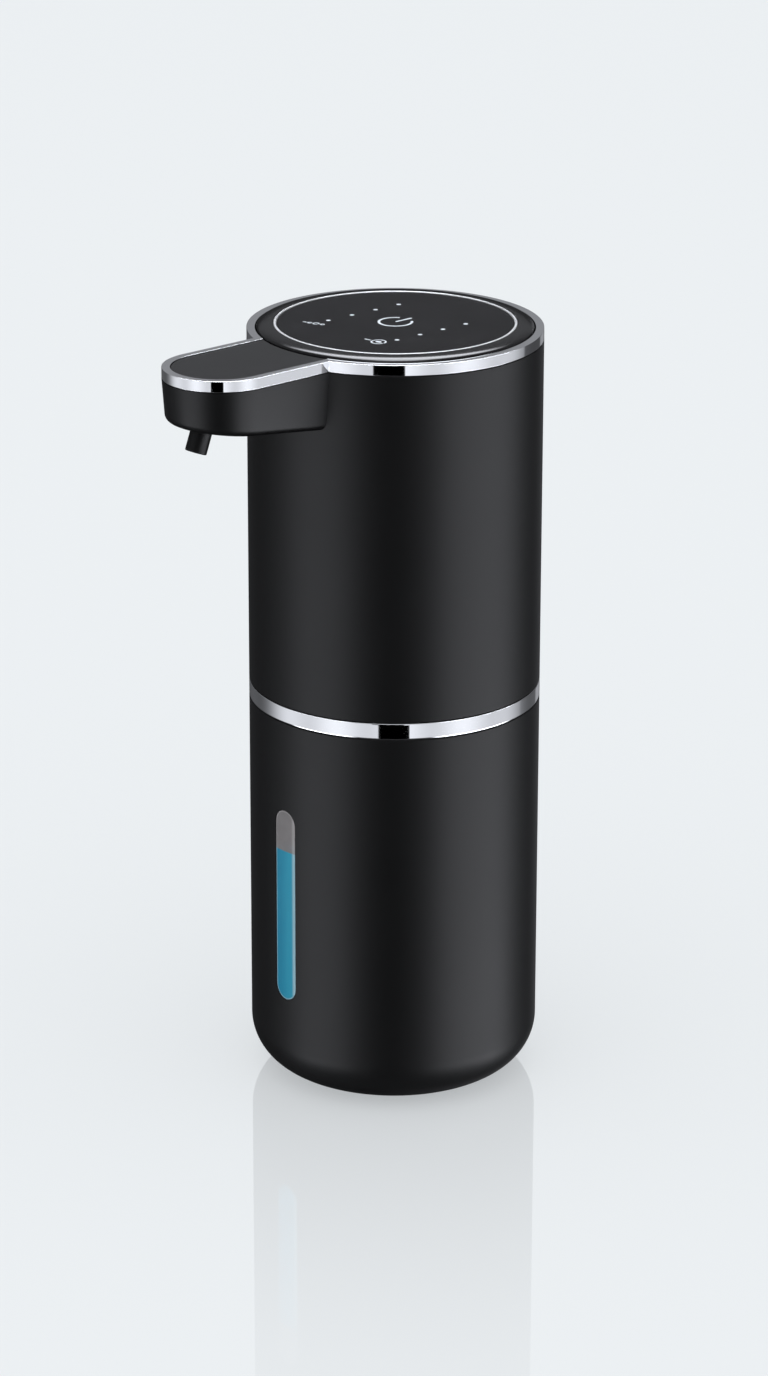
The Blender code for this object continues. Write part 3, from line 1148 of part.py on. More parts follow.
def make_pump():
    """Gear pump: body with its pockets and ports, gasket, cover with the shaft seal, idler pin, screws."""
    body = prism("pump_body", pump_outline(), PUMP_LOW, PUMP_HIGH, NYLON_GREY)
    join(body, tube("pump_barb", BARB_RADIUS, 0, -PUMP_FRONT - PUMP_WALL / 2, -BARB_TIP_Y, None,
                    SCREW_STEPS, at(MESH_X, 0, OUTLET_Z) @ FACING_FRONT))
    cut(body, prism("gear_pocket", pocket_outline(), POCKET_LOW, PUMP_HIGH + OVERRUN, None))
    cut(body, hole("inlet", MESH_X, INLET_Y, INLET_RADIUS, PUMP_LOW - OVERRUN, OUTLET_Z, SMALL_STEPS))
    cut(body, tube("outlet", BARB_BORE, 0, -MOTOR_Y + CUSP_Y / 2, -BARB_TIP_Y + OVERRUN, None,
                   SCREW_STEPS, at(MESH_X, 0, OUTLET_Z) @ FACING_FRONT))

    clearance = PUMP_SCREW[2] + SEAM
    holes = [pocket_outline()] + [circle(x, y, clearance) for x, y in pump_corners()]
    plate("pump_gasket", pump_outline(), holes, GASKET_LOW, GASKET_HIGH, SILICONE_BLACK)
    cover = prism("pump_cover", pump_outline(), PUMP_COVER_LOW, PUMP_COVER_HIGH, NYLON_GREY)
    low = PUMP_COVER_LOW - OVERRUN
    high = PUMP_COVER_HIGH + OVERRUN
    nose_seat = PUMP_COVER_HIGH - MOTOR_NOSE_HEIGHT
    seal_low = nose_seat - GAP - SHAFT_SEAL_THICKNESS
    cut(cover, hole("shaft_hole", 0, MOTOR_Y, SHAFT_RADIUS + GAP, low, high, SMALL_STEPS))
    cut(cover, hole("seal_seat", 0, MOTOR_Y, SHAFT_SEAL_RADIUS + SEAM, seal_low - SEAM, high, SMALL_STEPS))
    tube("shaft_seal", SHAFT_SEAL_RADIUS, SHAFT_RADIUS + SEAM, seal_low, seal_low + SHAFT_SEAL_THICKNESS,
         SILICONE_BLACK, SMALL_STEPS, at(0, MOTOR_Y))

    pin_low = PUMP_LOW + PUMP_FLOOR / 2
    pin_high = PUMP_COVER_LOW + PUMP_COVER_THICKNESS / 2
    tube("idler_pin", SHAFT_RADIUS, 0, pin_low, pin_high, STEEL, SHAFT_STEPS, at(GEAR_CENTRES, MOTOR_Y))
    pin_hole = SHAFT_RADIUS + SLIP
    cut(body, hole("pin_hole_low", GEAR_CENTRES, MOTOR_Y, pin_hole, pin_low - SEAM, PUMP_HIGH + OVERRUN,
                   SHAFT_STEPS))
    cut(cover, hole("pin_hole_high", GEAR_CENTRES, MOTOR_Y, pin_hole, low, pin_high + SEAM, SHAFT_STEPS))

    head_seat = PUMP_COVER_HIGH - PUMP_SCREW[1] - SEAM
    pilot_low = head_seat - PUMP_SCREW[3] - GAP
    for number, (x, y) in enumerate(pump_corners(), 1):
        cut(body, hole(f"pump_pilot_{number}", x, y, clearance, pilot_low, high))
        cut(cover, hole(f"cover_hole_{number}", x, y, clearance, low, high))
        cut(cover, hole(f"cover_sink_{number}", x, y, PUMP_SCREW[0] + SEAM, head_seat - SEAM, high))
        screw(f"pump_screw_{number}", PUMP_SCREW, (x, y, head_seat), STEEL)


def make_valve():
    """Check valve in the deck's spigot: cage with a seat, and the ball that lifts off it."""
    inside = VALVE_RADIUS - VALVE_WALL
    high = PUMP_LOW - SEAM
    outline = [
        (VALVE_SEAT_RADIUS, VALVE_LOW), (VALVE_RADIUS, VALVE_LOW), (VALVE_RADIUS, high), (inside, high),
        (inside, SEAT_Z), (VALVE_SEAT_RADIUS, SEAT_Z),
    ]
    turned("valve_cage", outline, NYLON_WHITE, SMALL_STEPS, at(MESH_X, INLET_Y))
    outline = arc(0, 0, BALL_RADIUS, BALL_RADIUS, -math.pi / 2, math.pi / 2, BALL_STEPS // 2)
    outline[0] = (0, -BALL_RADIUS)
    outline[-1] = (0, BALL_RADIUS)
    ball = turned("valve_ball", outline, STEEL, BALL_STEPS)
    ball.location = (MESH_X, INLET_Y, BALL_Z)


def make_suction_tube():
    """Dip tube from the deck's spigot to the bottle's floor, with a slotted strainer."""
    place = at(MESH_X, INLET_Y)
    stop = STRAINER_LOW + STRAINER_FLOOR + STRAINER_SLOT_HEIGHT
    tube("suction_tube", TUBE_RADIUS, TUBE_BORE, stop + SEAM, TUBE_HIGH, SILICONE_CLEAR, SMALL_STEPS, place)
    inside = TUBE_RADIUS + SLIP
    outside = inside + STRAINER_WALL
    outline = [
        (0, STRAINER_LOW), (outside, STRAINER_LOW), (outside, STRAINER_HIGH), (inside, STRAINER_HIGH),
        (inside, stop), (TUBE_BORE, stop), (TUBE_BORE, STRAINER_LOW + STRAINER_FLOOR),
        (0, STRAINER_LOW + STRAINER_FLOOR),
    ]
    strainer = turned("tube_strainer", outline, NYLON_WHITE, SMALL_STEPS, place)
    half = STRAINER_SLOT_WIDTH / 2
    low = STRAINER_LOW + STRAINER_FLOOR
    high = stop - STRAINER_FLOOR
    reach = outside + OVERRUN
    for name, half_x, half_y in (("slot_along", reach, half), ("slot_across", half, reach)):
        cut(strainer, block(name, (MESH_X - half_x, INLET_Y - half_y, low),
                            (MESH_X + half_x, INLET_Y + half_y, high), None))


def floor_frame(y):
    """Frame on the spout's underside: its Z points up into the spout, square to the floor."""
    slope = math.atan(SPOUT_RISE_SHARE)
    return Matrix.Translation((0, y, spout_underside(y))) @ Matrix.Rotation(-slope, 4, 'X')


def make_hand_sensor(housing):
    """Small board in the spout with two eyes that look down through a dark window."""
    frame = floor_frame(-SENSOR_REACH)
    cut(housing, tube("sensor_hole", SENSOR_WINDOW_RADIUS + SEAM, 0, -OVERRUN, WALL + OVERRUN, None,
                      SMALL_STEPS, frame))
    tube("ir_window", SENSOR_WINDOW_RADIUS, 0, 0, SENSOR_WINDOW_THICKNESS, GLOSS_BLACK, SMALL_STEPS, frame)
    low = WALL + GAP
    high = low + SENSOR_BOARD_THICKNESS
    outline = rounded_rectangle(SENSOR_BOARD_HALF_WIDTH, SENSOR_BOARD_HALF_LENGTH, SENSOR_EYE_RADIUS, 2)
    board = prism("ir_sensor_board", outline, low, high, BOARD_GREEN, frame)
    for number, side in enumerate((-1, 1), 1):
        place = frame @ at(side * SENSOR_EYE_SPACING / 2, 0)
        eye_low = WALL - SENSOR_EYE_DEPTH
        join(board, tube(f"eye_{number}", SENSOR_EYE_RADIUS, 0, eye_low, (low + high) / 2, None,
                         SCREW_STEPS, place))


def make_charging_inlet():
    """Charging board, its socket in the housing's pad, and the soft flap hinged along its lower edge."""
    low = FRAME_BASE_HIGH + GAP
    block("charge_board", (-CHARGE_BOARD_HALF_WIDTH, CHARGE_BOARD_FRONT, low),
          (CHARGE_BOARD_HALF_WIDTH, CHARGE_BOARD_BACK, low + CHARGE_BOARD_HEIGHT), BOARD_GREEN)
    back = PORT_BOSS_Y - SEAM
    mouth = back + SOCKET_DEPTH
    shell = moved(capsule(SOCKET_HALF_WIDTH, SOCKET_HALF_HEIGHT, EDGE_STEPS), 0, PORT_Z)
    inner = capsule(SOCKET_HALF_WIDTH - SOCKET_WALL, SOCKET_HALF_HEIGHT - SOCKET_WALL, EDGE_STEPS)
    socket = prism("charge_socket", shell, back, mouth, STEEL, FACING_BACK)
    floor = back + SOCKET_DEPTH - SOCKET_TONGUE_LENGTH - SOCKET_WALL
    cut(socket, prism("socket_inside", moved(inner, 0, PORT_Z), floor, mouth + OVERRUN, None, FACING_BACK))
    half = SOCKET_TONGUE_THICKNESS / 2
    tongue_half_width = SOCKET_HALF_WIDTH - SOCKET_HALF_HEIGHT
    join(socket, block("tongue", (-tongue_half_width, floor - SOCKET_WALL, PORT_Z - half),
                       (tongue_half_width, mouth - SOCKET_WALL, PORT_Z + half), None))

    hinge_z = PORT_Z - FLAP_HALF_HEIGHT
    flap_outline = rounded_rectangle(FLAP_HALF_WIDTH, FLAP_HALF_HEIGHT, FLAP_CORNER, EDGE_STEPS)
    inside = BODY_RADIUS - FLAP_THICKNESS
    to_hinge = Matrix.Translation((0, -BODY_RADIUS, -hinge_z))
    flap = prism("port_cover", moved(flap_outline, 0, PORT_Z), PORT_BOSS_Y, BODY_RADIUS + OVERRUN,
                 SILICONE_BLACK, to_hinge @ FACING_BACK)
    shell = tube("flap_shell", BODY_RADIUS, inside, HOUSING_LOW, HOUSING_HIGH, None, ROUND_STEPS, to_hinge)
    plug_outline = capsule(SOCKET_HALF_WIDTH - GAP, SOCKET_HALF_HEIGHT - GAP, EDGE_STEPS)
    plug = prism("flap_plug", moved(plug_outline, 0, PORT_Z), inside - FLAP_PLUG_DEPTH,
                 BODY_RADIUS - FLAP_THICKNESS / 2, None, to_hinge @ FACING_BACK)
    for piece in (flap, shell, plug):
        piece.location = (0, BODY_RADIUS, hinge_z)
    trim(flap, shell)
    join(flap, plug)


def make_wiring(connector):
    """Leads and cables inside the head, from each part to the connector or the control board."""
    length, width, height = CONNECTOR_SIZE
    entry = connector.z + height / 2
    reach = GAP + LEAD_RADIUS
    over_cell = CELL_HIGH + reach
    left = connector.x - length / 2 - GAP
    wire("battery_lead_red", [
        (0, CELL_Y, over_cell),
        (left / 2, (CELL_Y + connector.y) / 2, over_cell),
        (left - 2 * reach, connector.y, over_cell),
        (left, connector.y, over_cell),
    ], LEAD_RADIUS, WIRE_RED)

    clear = CELL_RADIUS + GAP + STRAP_THICKNESS + reach
    aside = math.sqrt(clear ** 2 - STRAP_EAR ** 2)
    behind = CELL_Y + STRAP_EAR
    under = connector.z - reach
    wire("battery_lead_black", [
        (aside - STRAP_THICKNESS, behind, CELL_LOW + reach),
        (aside, behind, CELL_LOW + CELL_LENGTH / 3),
        (aside, behind, under - 3 * width / 2),
        (connector.x - length / 4, connector.y + width / 2, under - width / 2),
        (connector.x - length / 4, connector.y, under),
    ], LEAD_RADIUS, WIRE_BLACK)

    reach = GAP + CABLE_RADIUS
    tag_x = (MOTOR_TAG_SPACING + MOTOR_TAG_THICKNESS) / 2 + reach
    over_web = CELL_HIGH - CABLE_ROOM + 2 * reach
    front = connector.y - width / 2 - GAP
    wire("motor_cable", [
        (tag_x, MOTOR_Y, MOTOR_CAP_HIGH + reach),
        (tag_x, MOTOR_Y, (MOTOR_CAP_HIGH + over_web) / 2),
        ((tag_x + connector.x) / 2, WEB_FRONT, over_web),
        (connector.x, front - 2 * reach, entry),
        (connector.x, front, entry),
    ], CABLE_RADIUS, WIRE_GREY)

    board_y = CHARGE_BOARD_FRONT - reach
    board_high = FRAME_BASE_HIGH + GAP + CHARGE_BOARD_HEIGHT
    back = connector.y + width / 2 + GAP
    outside = CHARGE_BOARD_HALF_WIDTH + CELL_BACK_ROOM + reach
    wire("charge_cable", [
        (CHARGE_BOARD_HALF_WIDTH - reach, board_y, board_high - reach),
        (outside, board_y - CELL_BACK_ROOM, board_high + CELL_BACK_ROOM),
        (outside + reach, board_y - CELL_BACK_ROOM, (board_high + CELL_HIGH) / 2),
        (connector.x + reach, back + 2 * reach, entry - reach),
        (connector.x + reach, back + reach, entry),
        (connector.x + reach, back, entry),
    ], CABLE_RADIUS, WIRE_BLACK)

    sensor_x = SENSOR_BOARD_HALF_WIDTH - CABLE_RADIUS
    floor = spout_underside(-SENSOR_REACH) + WALL + SENSOR_BOARD_THICKNESS + 2 * GAP
    under_board = BOARD_LOW - SEAM
    wire("sensor_cable", [
        (sensor_x, -SENSOR_REACH, floor + CABLE_RADIUS),
        (sensor_x, -SENSOR_REACH + 2 * SENSOR_BOARD_HALF_LENGTH, floor + 2 * CABLE_RADIUS),
        (sensor_x, HOSE_Y - HOSE_ROOM / 2, HOSE_HIGH),
        (sensor_x + reach, HOSE_Y + HOSE_ROOM / 2, under_board - reach),
        (sensor_x + reach, HOSE_Y + HOSE_ROOM, under_board - reach),
    ], CABLE_RADIUS, WIRE_GREY)


def make_bodies():
    """Parent each piece to an empty that stands for the body it moves with, on that body's joint."""
    places = {
        "bottle": ((0, 0, 0), ("bottle_shell", "sight_window", "foot_pad")),
        "seal": ((0, 0, NECK_TOP), ("neck_seal",)),
        "drive": ((0, MOTOR_Y, GEAR_LOW), ("motor_shaft", "drive_gear")),
        "idler": ((GEAR_CENTRES, MOTOR_Y, GEAR_LOW), ("idler_gear",)),
        "ball": ((MESH_X, INLET_Y, BALL_Z), ("valve_ball",)),
        "flap": ((0, BODY_RADIUS, PORT_Z - FLAP_HALF_HEIGHT), ("port_cover",)),
        "head": ((0, 0, DECK_LOW), ()),
    }
    owners = {piece: body for body, (_, pieces) in places.items() for piece in pieces}
    pieces = [obj for obj in bpy.data.objects if not obj.hide_render]
    empties = {}
    for body, (place, _) in places.items():
        empties[body] = bpy.data.objects.new(f"{body} body", None)
        empties[body].location = place
        bpy.context.scene.collection.objects.link(empties[body])
    for piece in pieces:
        empty = empties[owners.get(piece.name, "head")]
        piece.parent = empty
        piece.matrix_parent_inverse = Matrix.Translation(-empty.location)


def build():
    """Make every piece of the dispenser."""
    clear_scene()
    middle, half_length = make_bottle()
    make_sight_window(middle, half_length)
    make_neck_seal()
    make_base_deck()
    make_mid_trim_ring()
    housing = make_upper_housing()
    hose_end = make_nozzle(housing)
    make_outlet_hose(hose_end)
    make_top_trim_ring()
    make_spout_cover()
    make_panel_bezel()
    make_touch_panel()
    connector = make_control_board()
    make_light_mask()
    make_touch_spring()
    make_frame()
    make_straps()
    make_cell()
    make_motor()
    make_gears()
    make_pump()
    make_valve()
    make_suction_tube()
    make_hand_sensor(housing)
    make_charging_inlet()
    make_wiring(connector)
    weld_cuts()
    make_bodies()


build()
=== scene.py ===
"""Automatic soap dispenser: its visible pieces, their finishes and the studio round them.

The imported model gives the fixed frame. Each sub-assembly is a class that shapes its own pieces,
dresses them and hangs them on the body that carries them. Lengths are in metres, and the CAD
frame has its origin under the foot, +Z up and the spout towards -Y.
"""

import logging
import math
from collections.abc import Callable, Iterator, Sequence
from contextlib import contextmanager
from dataclasses import dataclass
from enum import Enum
from typing import Any

import bmesh
import bpy
from mathutils import Matrix, Vector

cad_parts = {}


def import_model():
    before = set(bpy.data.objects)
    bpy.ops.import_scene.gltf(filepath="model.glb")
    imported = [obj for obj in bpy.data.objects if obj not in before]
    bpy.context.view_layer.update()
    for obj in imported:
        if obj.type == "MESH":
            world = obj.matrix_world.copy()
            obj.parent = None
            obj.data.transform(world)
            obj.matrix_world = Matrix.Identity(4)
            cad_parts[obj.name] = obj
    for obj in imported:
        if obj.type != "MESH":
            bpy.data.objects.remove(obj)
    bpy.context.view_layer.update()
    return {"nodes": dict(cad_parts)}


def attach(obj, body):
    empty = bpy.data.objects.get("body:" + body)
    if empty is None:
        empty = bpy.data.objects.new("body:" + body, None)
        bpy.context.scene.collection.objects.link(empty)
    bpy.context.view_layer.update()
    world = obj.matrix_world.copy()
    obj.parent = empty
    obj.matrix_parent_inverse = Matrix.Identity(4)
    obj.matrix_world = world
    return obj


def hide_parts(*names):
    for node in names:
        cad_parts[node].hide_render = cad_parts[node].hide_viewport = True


Point = tuple[float, float]
Corner = tuple[float, float, float]
Colour = tuple[float, float, float]

MM = 0.001
TURN = 2 * math.pi
HOLD = 0.2 * MM
MERGE = 1e-6
ROUND_STEPS = 224
BODY_RADIUS = 35.5 * MM
WALL = 1.8 * MM
SPOUT_CENTRE = 54.1 * MM
SPOUT_HALF = 13.7 * MM
NOZZLE_TILT = 0.35954
RIM_LOW = 187.0 * MM
RIM_HIGH = 189.6 * MM
PANEL_HIGH = 190.5 * MM
LIQUID_LEVEL = 64.3 * MM

log = logging.getLogger("soap_dispenser")


# Outlines

def round_corners(corners: Sequence[Corner], closed: bool = True, steps: int = 8) -> list[Point]:
    """Round the corners of an outline and hold its straight runs flat beside each round.

    Args:
        corners: (across, up, radius) of each corner, in order.
        closed: Whether the last corner joins the first.
        steps: Steps in a quarter turn.

    Returns:
        The points of the finished outline.
    """
    count = len(corners)
    places = [Vector(corner[:2]) for corner in corners]
    reaches: list[float] = []
    for index, (_, _, radius) in enumerate(corners):
        at_end = not closed and index in (0, count - 1)
        if radius == 0 or at_end:
            reaches.append(0.0)
            continue
        before = places[index - 1] - places[index]
        after = places[(index + 1) % count] - places[index]
        reaches.append(radius * math.tan((math.pi - before.angle(after)) / 2))
    points: list[Point] = []
    for index, here in enumerate(places):
        if reaches[index] == 0:
            points.append((here.x, here.y))
            continue
        radius = corners[index][2]
        before = places[index - 1] - here
        after = places[(index + 1) % count] - here
        turn = math.pi - before.angle(after)
        first, last = before.normalized(), after.normalized()
        centre = here + (first + last).normalized() * radius / math.cos(turn / 2)
        arm = here + first * reaches[index] - centre
        end = here + last * reaches[index] - centre
        side = 1 if arm.x * end.y - arm.y * end.x > 0 else -1
        if before.length - reaches[index] - reaches[index - 1] > 3 * HOLD:
            point = here + first * (reaches[index] + HOLD)
            points.append((point.x, point.y))
        number = max(2, round(steps * turn / (math.pi / 2)))
        for step in range(number + 1):
            angle = side * turn * step / number
            points.append((centre.x + arm.x * math.cos(angle) - arm.y * math.sin(angle),
                           centre.y + arm.x * math.sin(angle) + arm.y * math.cos(angle)))
        if after.length - reaches[index] - reaches[(index + 1) % count] > 3 * HOLD:
            point = here + last * (reaches[index] + HOLD)
            points.append((point.x, point.y))
    return points


def arc(centre: Point, radii: Point, start: float, end: float, steps: int) -> list[Point]:
    """Points along an elliptical arc.

    Args:
        centre: Centre of the arc.
        radii: Radius across and radius up.
        start: First angle in radians.
        end: Last angle in radians.
        steps: Number of steps between them.

    Returns:
        The points, both ends among them.
    """
    angles = [start + (end - start) * step / steps for step in range(steps + 1)]
    return [(centre[0] + radii[0] * math.cos(angle), centre[1] + radii[1] * math.sin(angle))
            for angle in angles]


def upright_slot(half_width: float, low: float, high: float, steps: int = 20) -> list[Point]:
    """Outline of an upright slot with full round ends."""
    top = arc((0, high - half_width), (half_width, half_width), 0, math.pi, steps)
    return top + arc((0, low + half_width), (half_width, half_width), math.pi, TURN, steps)


def flat_slot(half_width: float, half_height: float, steps: int = 12) -> list[Point]:
    """Outline of a level slot with full round ends.

    Args:
        half_width: Half its length across.
        half_height: Half its height, and the radius of its ends.
        steps: Steps round each end.

    Returns:
        The points of the outline.
    """
    run = half_width - half_height
    right = arc((run, 0), (half_height, half_height), -math.pi / 2, math.pi / 2, steps)
    return right + arc((-run, 0), (half_height, half_height), math.pi / 2, 3 * math.pi / 2, steps)


def spout_plan(half_width: float, root: float, steps: int = 40) -> list[Point]:
    """Plan of the spout: straight sides from the root and a full round tip."""
    tip = arc((0, -SPOUT_CENTRE), (half_width, half_width), -math.pi, 0, steps)
    return [*tip, (half_width, -root), (-half_width, -root)]


def teardrop(radius: float, half_width: float) -> list[Point]:
    """Plan of the rim: round the barrel and out along both sides of the spout.

    Args:
        radius: Radius round the barrel.
        half_width: Half the width of the spout, and the radius of its tip.

    Returns:
        The points of the plan.
    """
    corner = math.asin(half_width / radius)
    back = arc((0, 0), (radius, radius), -math.pi / 2 + corner, 3 * math.pi / 2 - corner, 200)
    return back + arc((0, -SPOUT_CENTRE), (half_width, half_width), -math.pi, 0, 48)


def tablet(half: Point, corner: float = 0.0) -> list[Point]:
    """Outline of a rectangle round the origin, with its corners rounded.

    Args:
        half: Half its width and half its height.
        corner: Radius of its corners.

    Returns:
        The points of the outline.
    """
    across, up = half
    return round_corners([(-across, -up, corner), (across, -up, corner),
                          (across, up, corner), (-across, up, corner)])


def hoop(inner: float, outer: float, low: float, high: float) -> list[Point]:
    """Profile of a plain ring, from its inner to its outer radius."""
    return [(inner, low), (outer, low), (outer, high), (inner, high)]


def post(radius: float, low: float, high: float) -> list[Point]:
    """Profile of a plain round post on the axis."""
    return hoop(0, radius, low, high)


def shifted(outline: Sequence[Point], across: float, up: float) -> list[Point]:
    """The same outline moved across and up."""
    return [(x + across, y + up) for x, y in outline]


def sharp(outline: Sequence[Point]) -> list[Corner]:
    """The points of an outline as corners that stay sharp."""
    return [(x, y, 0) for x, y in outline]


def in_mm(*corners: Corner) -> list[Corner]:
    """Corners in metres, from figures in millimetres."""
    return [(x * MM, y * MM, radius * MM) for x, y, radius in corners]


# Modelling by hand

class Kind(Enum):
    """What is selected in edit mode."""

    VERT = "VERT"
    EDGE = "EDGE"


class Carve(Enum):
    """How a second solid acts on a piece."""

    TAKE = "DIFFERENCE"
    ADD = "UNION"
    KEEP = "INTERSECT"


def take_up(piece: bpy.types.Object) -> None:
    """Make a piece the only one that is selected, and the active one.

    Args:
        piece: The piece.
    """
    bpy.ops.object.select_all(action="DESELECT")
    bpy.context.view_layer.objects.active = piece
    piece.select_set(True)


@contextmanager
def editing(piece: bpy.types.Object) -> Iterator[None]:
    """Hold a piece in edit mode with nothing selected.

    Args:
        piece: The piece.

    Yields:
        Nothing, while the piece is open.
    """
    take_up(piece)
    bpy.ops.object.mode_set(mode="EDIT")
    bpy.ops.mesh.select_mode(type="VERT")
    bpy.ops.mesh.select_all(action="DESELECT")
    yield
    bpy.ops.object.mode_set(mode="OBJECT")


def pick(piece: bpy.types.Object, kind: Kind, test: Callable[[Any], bool]) -> None:
    """Select the parts of a piece in edit mode that pass a test.

    Args:
        piece: The piece that is open in edit mode.
        kind: Corners or edges.
        test: Says whether one of them is wanted.
    """
    bpy.ops.mesh.select_mode(type=kind.value)
    bpy.ops.mesh.select_all(action="DESELECT")
    mesh = bmesh.from_edit_mesh(piece.data)
    for part in mesh.verts if kind is Kind.VERT else mesh.edges:
        if test(part):
            part.select = True
    mesh.select_flush_mode()
    bmesh.update_edit_mesh(piece.data)


def trace(name: str, points: Sequence[Vector], closed: bool) -> bpy.types.Object:
    """Draw a line through points: a plane merged to one corner, then extruded along them.

    Args:
        name: Name of the piece.
        points: The points in order.
        closed: Whether the line comes back to its start.

    Returns:
        The new piece, which holds the line.
    """
    bpy.ops.object.select_all(action="DESELECT")
    bpy.ops.mesh.primitive_plane_add(size=MM)
    piece = bpy.context.object
    piece.name = piece.data.name = name
    route = [*points, points[0]] if closed else list(points)
    with editing(piece):
        bpy.ops.mesh.select_all(action="SELECT")
        bpy.ops.mesh.merge(type="CENTER")
        bpy.ops.transform.translate(value=route[0])
        for here, there in zip(route, route[1:]):
            bpy.ops.mesh.extrude_vertices_move(TRANSFORM_OT_translate={"value": there - here})
        if closed:
            bpy.ops.mesh.select_all(action="SELECT")
            bpy.ops.mesh.remove_doubles(threshold=MERGE)
    return piece


def lathe(name: str, profile: Sequence[Point], closed: bool = False, steps: int = ROUND_STEPS,
          place: Matrix | None = None) -> bpy.types.Object:
    """Spin a profile round an axis.

    Args:
        name: Name of the piece.
        profile: (radius, height) of each point; an open profile starts and ends on the axis.
        closed: Whether the profile is a closed loop beside the axis.
        steps: Steps round the axis.
        place: Where the axis stands; its Z is the axis.

    Returns:
        The turned piece, with its faces outwards.
    """
    place = place or Matrix.Identity(4)
    piece = trace(name, [place @ Vector((radius, 0, height)) for radius, height in profile], closed)
    with editing(piece):
        bpy.ops.mesh.select_all(action="SELECT")
        bpy.ops.mesh.spin(steps=steps, angle=TURN, center=place.translation,
                          axis=place.to_3x3() @ Vector((0, 0, 1)))
        bpy.ops.mesh.select_all(action="SELECT")
        bpy.ops.mesh.remove_doubles(threshold=MERGE)
        bpy.ops.mesh.normals_make_consistent(inside=False)
    return piece


def slab(name: str, outline: Sequence[Point], low: float, high: float,
         place: Matrix | None = None) -> bpy.types.Object:
    """Fill an outline and extrude it.

    Args:
        name: Name of the piece.
        outline: The outline in the X and Y of its place.
        low: Where the slab starts along the Z of its place.
        high: Where it ends.
        place: Where the outline lies.

    Returns:
        The slab, with its faces outwards.
    """
    place = place or Matrix.Identity(4)
    piece = trace(name, [place @ Vector((x, y, low)) for x, y in outline], True)
    with editing(piece):
        bpy.ops.mesh.select_all(action="SELECT")
        bpy.ops.mesh.edge_face_add()
        rise = place.to_3x3() @ Vector((0, 0, high - low))
        bpy.ops.mesh.extrude_region_move(TRANSFORM_OT_translate={"value": rise})
        bpy.ops.mesh.select_all(action="SELECT")
        bpy.ops.mesh.normals_make_consistent(inside=False)
    return piece


def apply_last(piece: bpy.types.Object) -> None:
    """Apply the last modifier of a piece."""
    take_up(piece)
    bpy.ops.object.modifier_apply(modifier=piece.modifiers[-1].name)


def carve(piece: bpy.types.Object, how: Carve, *tools: bpy.types.Object) -> None:
    """Act on a piece with other solids, which are used up.

    Args:
        piece: The piece that stays.
        how: Take away, add, or keep what is common.
        tools: The other solids.
    """
    for tool in tools:
        modifier = piece.modifiers.new(how.name.lower(), "BOOLEAN")
        modifier.operation = how.value
        modifier.solver = "EXACT"
        modifier.object = tool
        apply_last(piece)
        bpy.data.objects.remove(tool)
    with editing(piece):
        bpy.ops.mesh.select_all(action="SELECT")
        bpy.ops.mesh.remove_doubles(threshold=2 * MERGE)


def soften(piece: bpy.types.Object, width: float, angle: float = 40) -> None:
    """Round the sharp edges of a piece with a small bevel, and keep its flats flat.

    Args:
        piece: The piece.
        width: Width of the bevel.
        angle: Edges sharper than this are rounded, in degrees.
    """
    modifier = piece.modifiers.new("edges", "BEVEL")
    modifier.width = width
    modifier.segments = 3
    modifier.limit_method = "ANGLE"
    modifier.angle_limit = math.radians(angle)
    apply_last(piece)
    smooth(piece)
    modifier = piece.modifiers.new("flats", "WEIGHTED_NORMAL")
    modifier.keep_sharp = True
    apply_last(piece)


def smooth(piece: bpy.types.Object, angle: float = 32) -> None:
    """Shade a piece smooth, apart from edges sharper than the angle in degrees."""
    take_up(piece)
    bpy.ops.object.shade_smooth_by_angle(angle=math.radians(angle))


# The front plane has X across and Z up and looks out along -Y; the back plane looks out along +Y.
FRONT = Matrix(((1, 0, 0, 0), (0, 0, -1, 0), (0, 1, 0, 0), (0, 0, 0, 1)))
BACK = Matrix(((-1, 0, 0, 0), (0, 0, 1, 0), (0, 1, 0, 0), (0, 0, 0, 1)))


# Shader maths

class Term:
    """A socket of a material, which takes part in sums as a number does."""

    def __init__(self, graph: "Graph", socket: bpy.types.NodeSocket) -> None:
        """Wrap an output socket."""
        self.graph = graph
        self.socket = socket

    def maths(self, operation: str, *values: "Term | float") -> "Term":
        """Add one Math node of the given operation on values or terms."""
        return self.graph.add("ShaderNodeMath", {"operation": operation}, dict(enumerate(values)))

    def __add__(self, other: "Term | float") -> "Term":
        """Sum."""
        return self.maths("ADD", self, other)

    def __radd__(self, other: float) -> "Term":
        """Sum with a number on the left."""
        return self.maths("ADD", other, self)

    def __sub__(self, other: "Term | float") -> "Term":
        """Difference."""
        return self.maths("SUBTRACT", self, other)

    def __rsub__(self, other: float) -> "Term":
        """Difference from a number on the left."""
        return self.maths("SUBTRACT", other, self)

    def __mul__(self, other: "Term | float") -> "Term":
        """Product."""
        return self.maths("MULTIPLY", self, other)

    def __rmul__(self, other: float) -> "Term":
        """Product with a number on the left."""
        return self.maths("MULTIPLY", other, self)

    def __pow__(self, other: "Term | float") -> "Term":
        """Power."""
        return self.maths("POWER", self, other)

    def size(self) -> "Term":
        """The value without its sign."""
        return self.maths("ABSOLUTE", self)

    def rise(self, low: float, high: float) -> "Term":
        """A smooth step from 0 at low to 1 at high."""
        return self.graph.add("ShaderNodeMapRange", {"interpolation_type": "SMOOTHSTEP"},
                              {"Value": self, "From Min": low, "From Max": high})

    def between(self, low: float, high: float, soft: float) -> "Term":
        """1 from low to high, falling to 0 over the soft width outside them."""
        return self.rise(low - soft, low) * (1 - self.rise(high, high + soft))


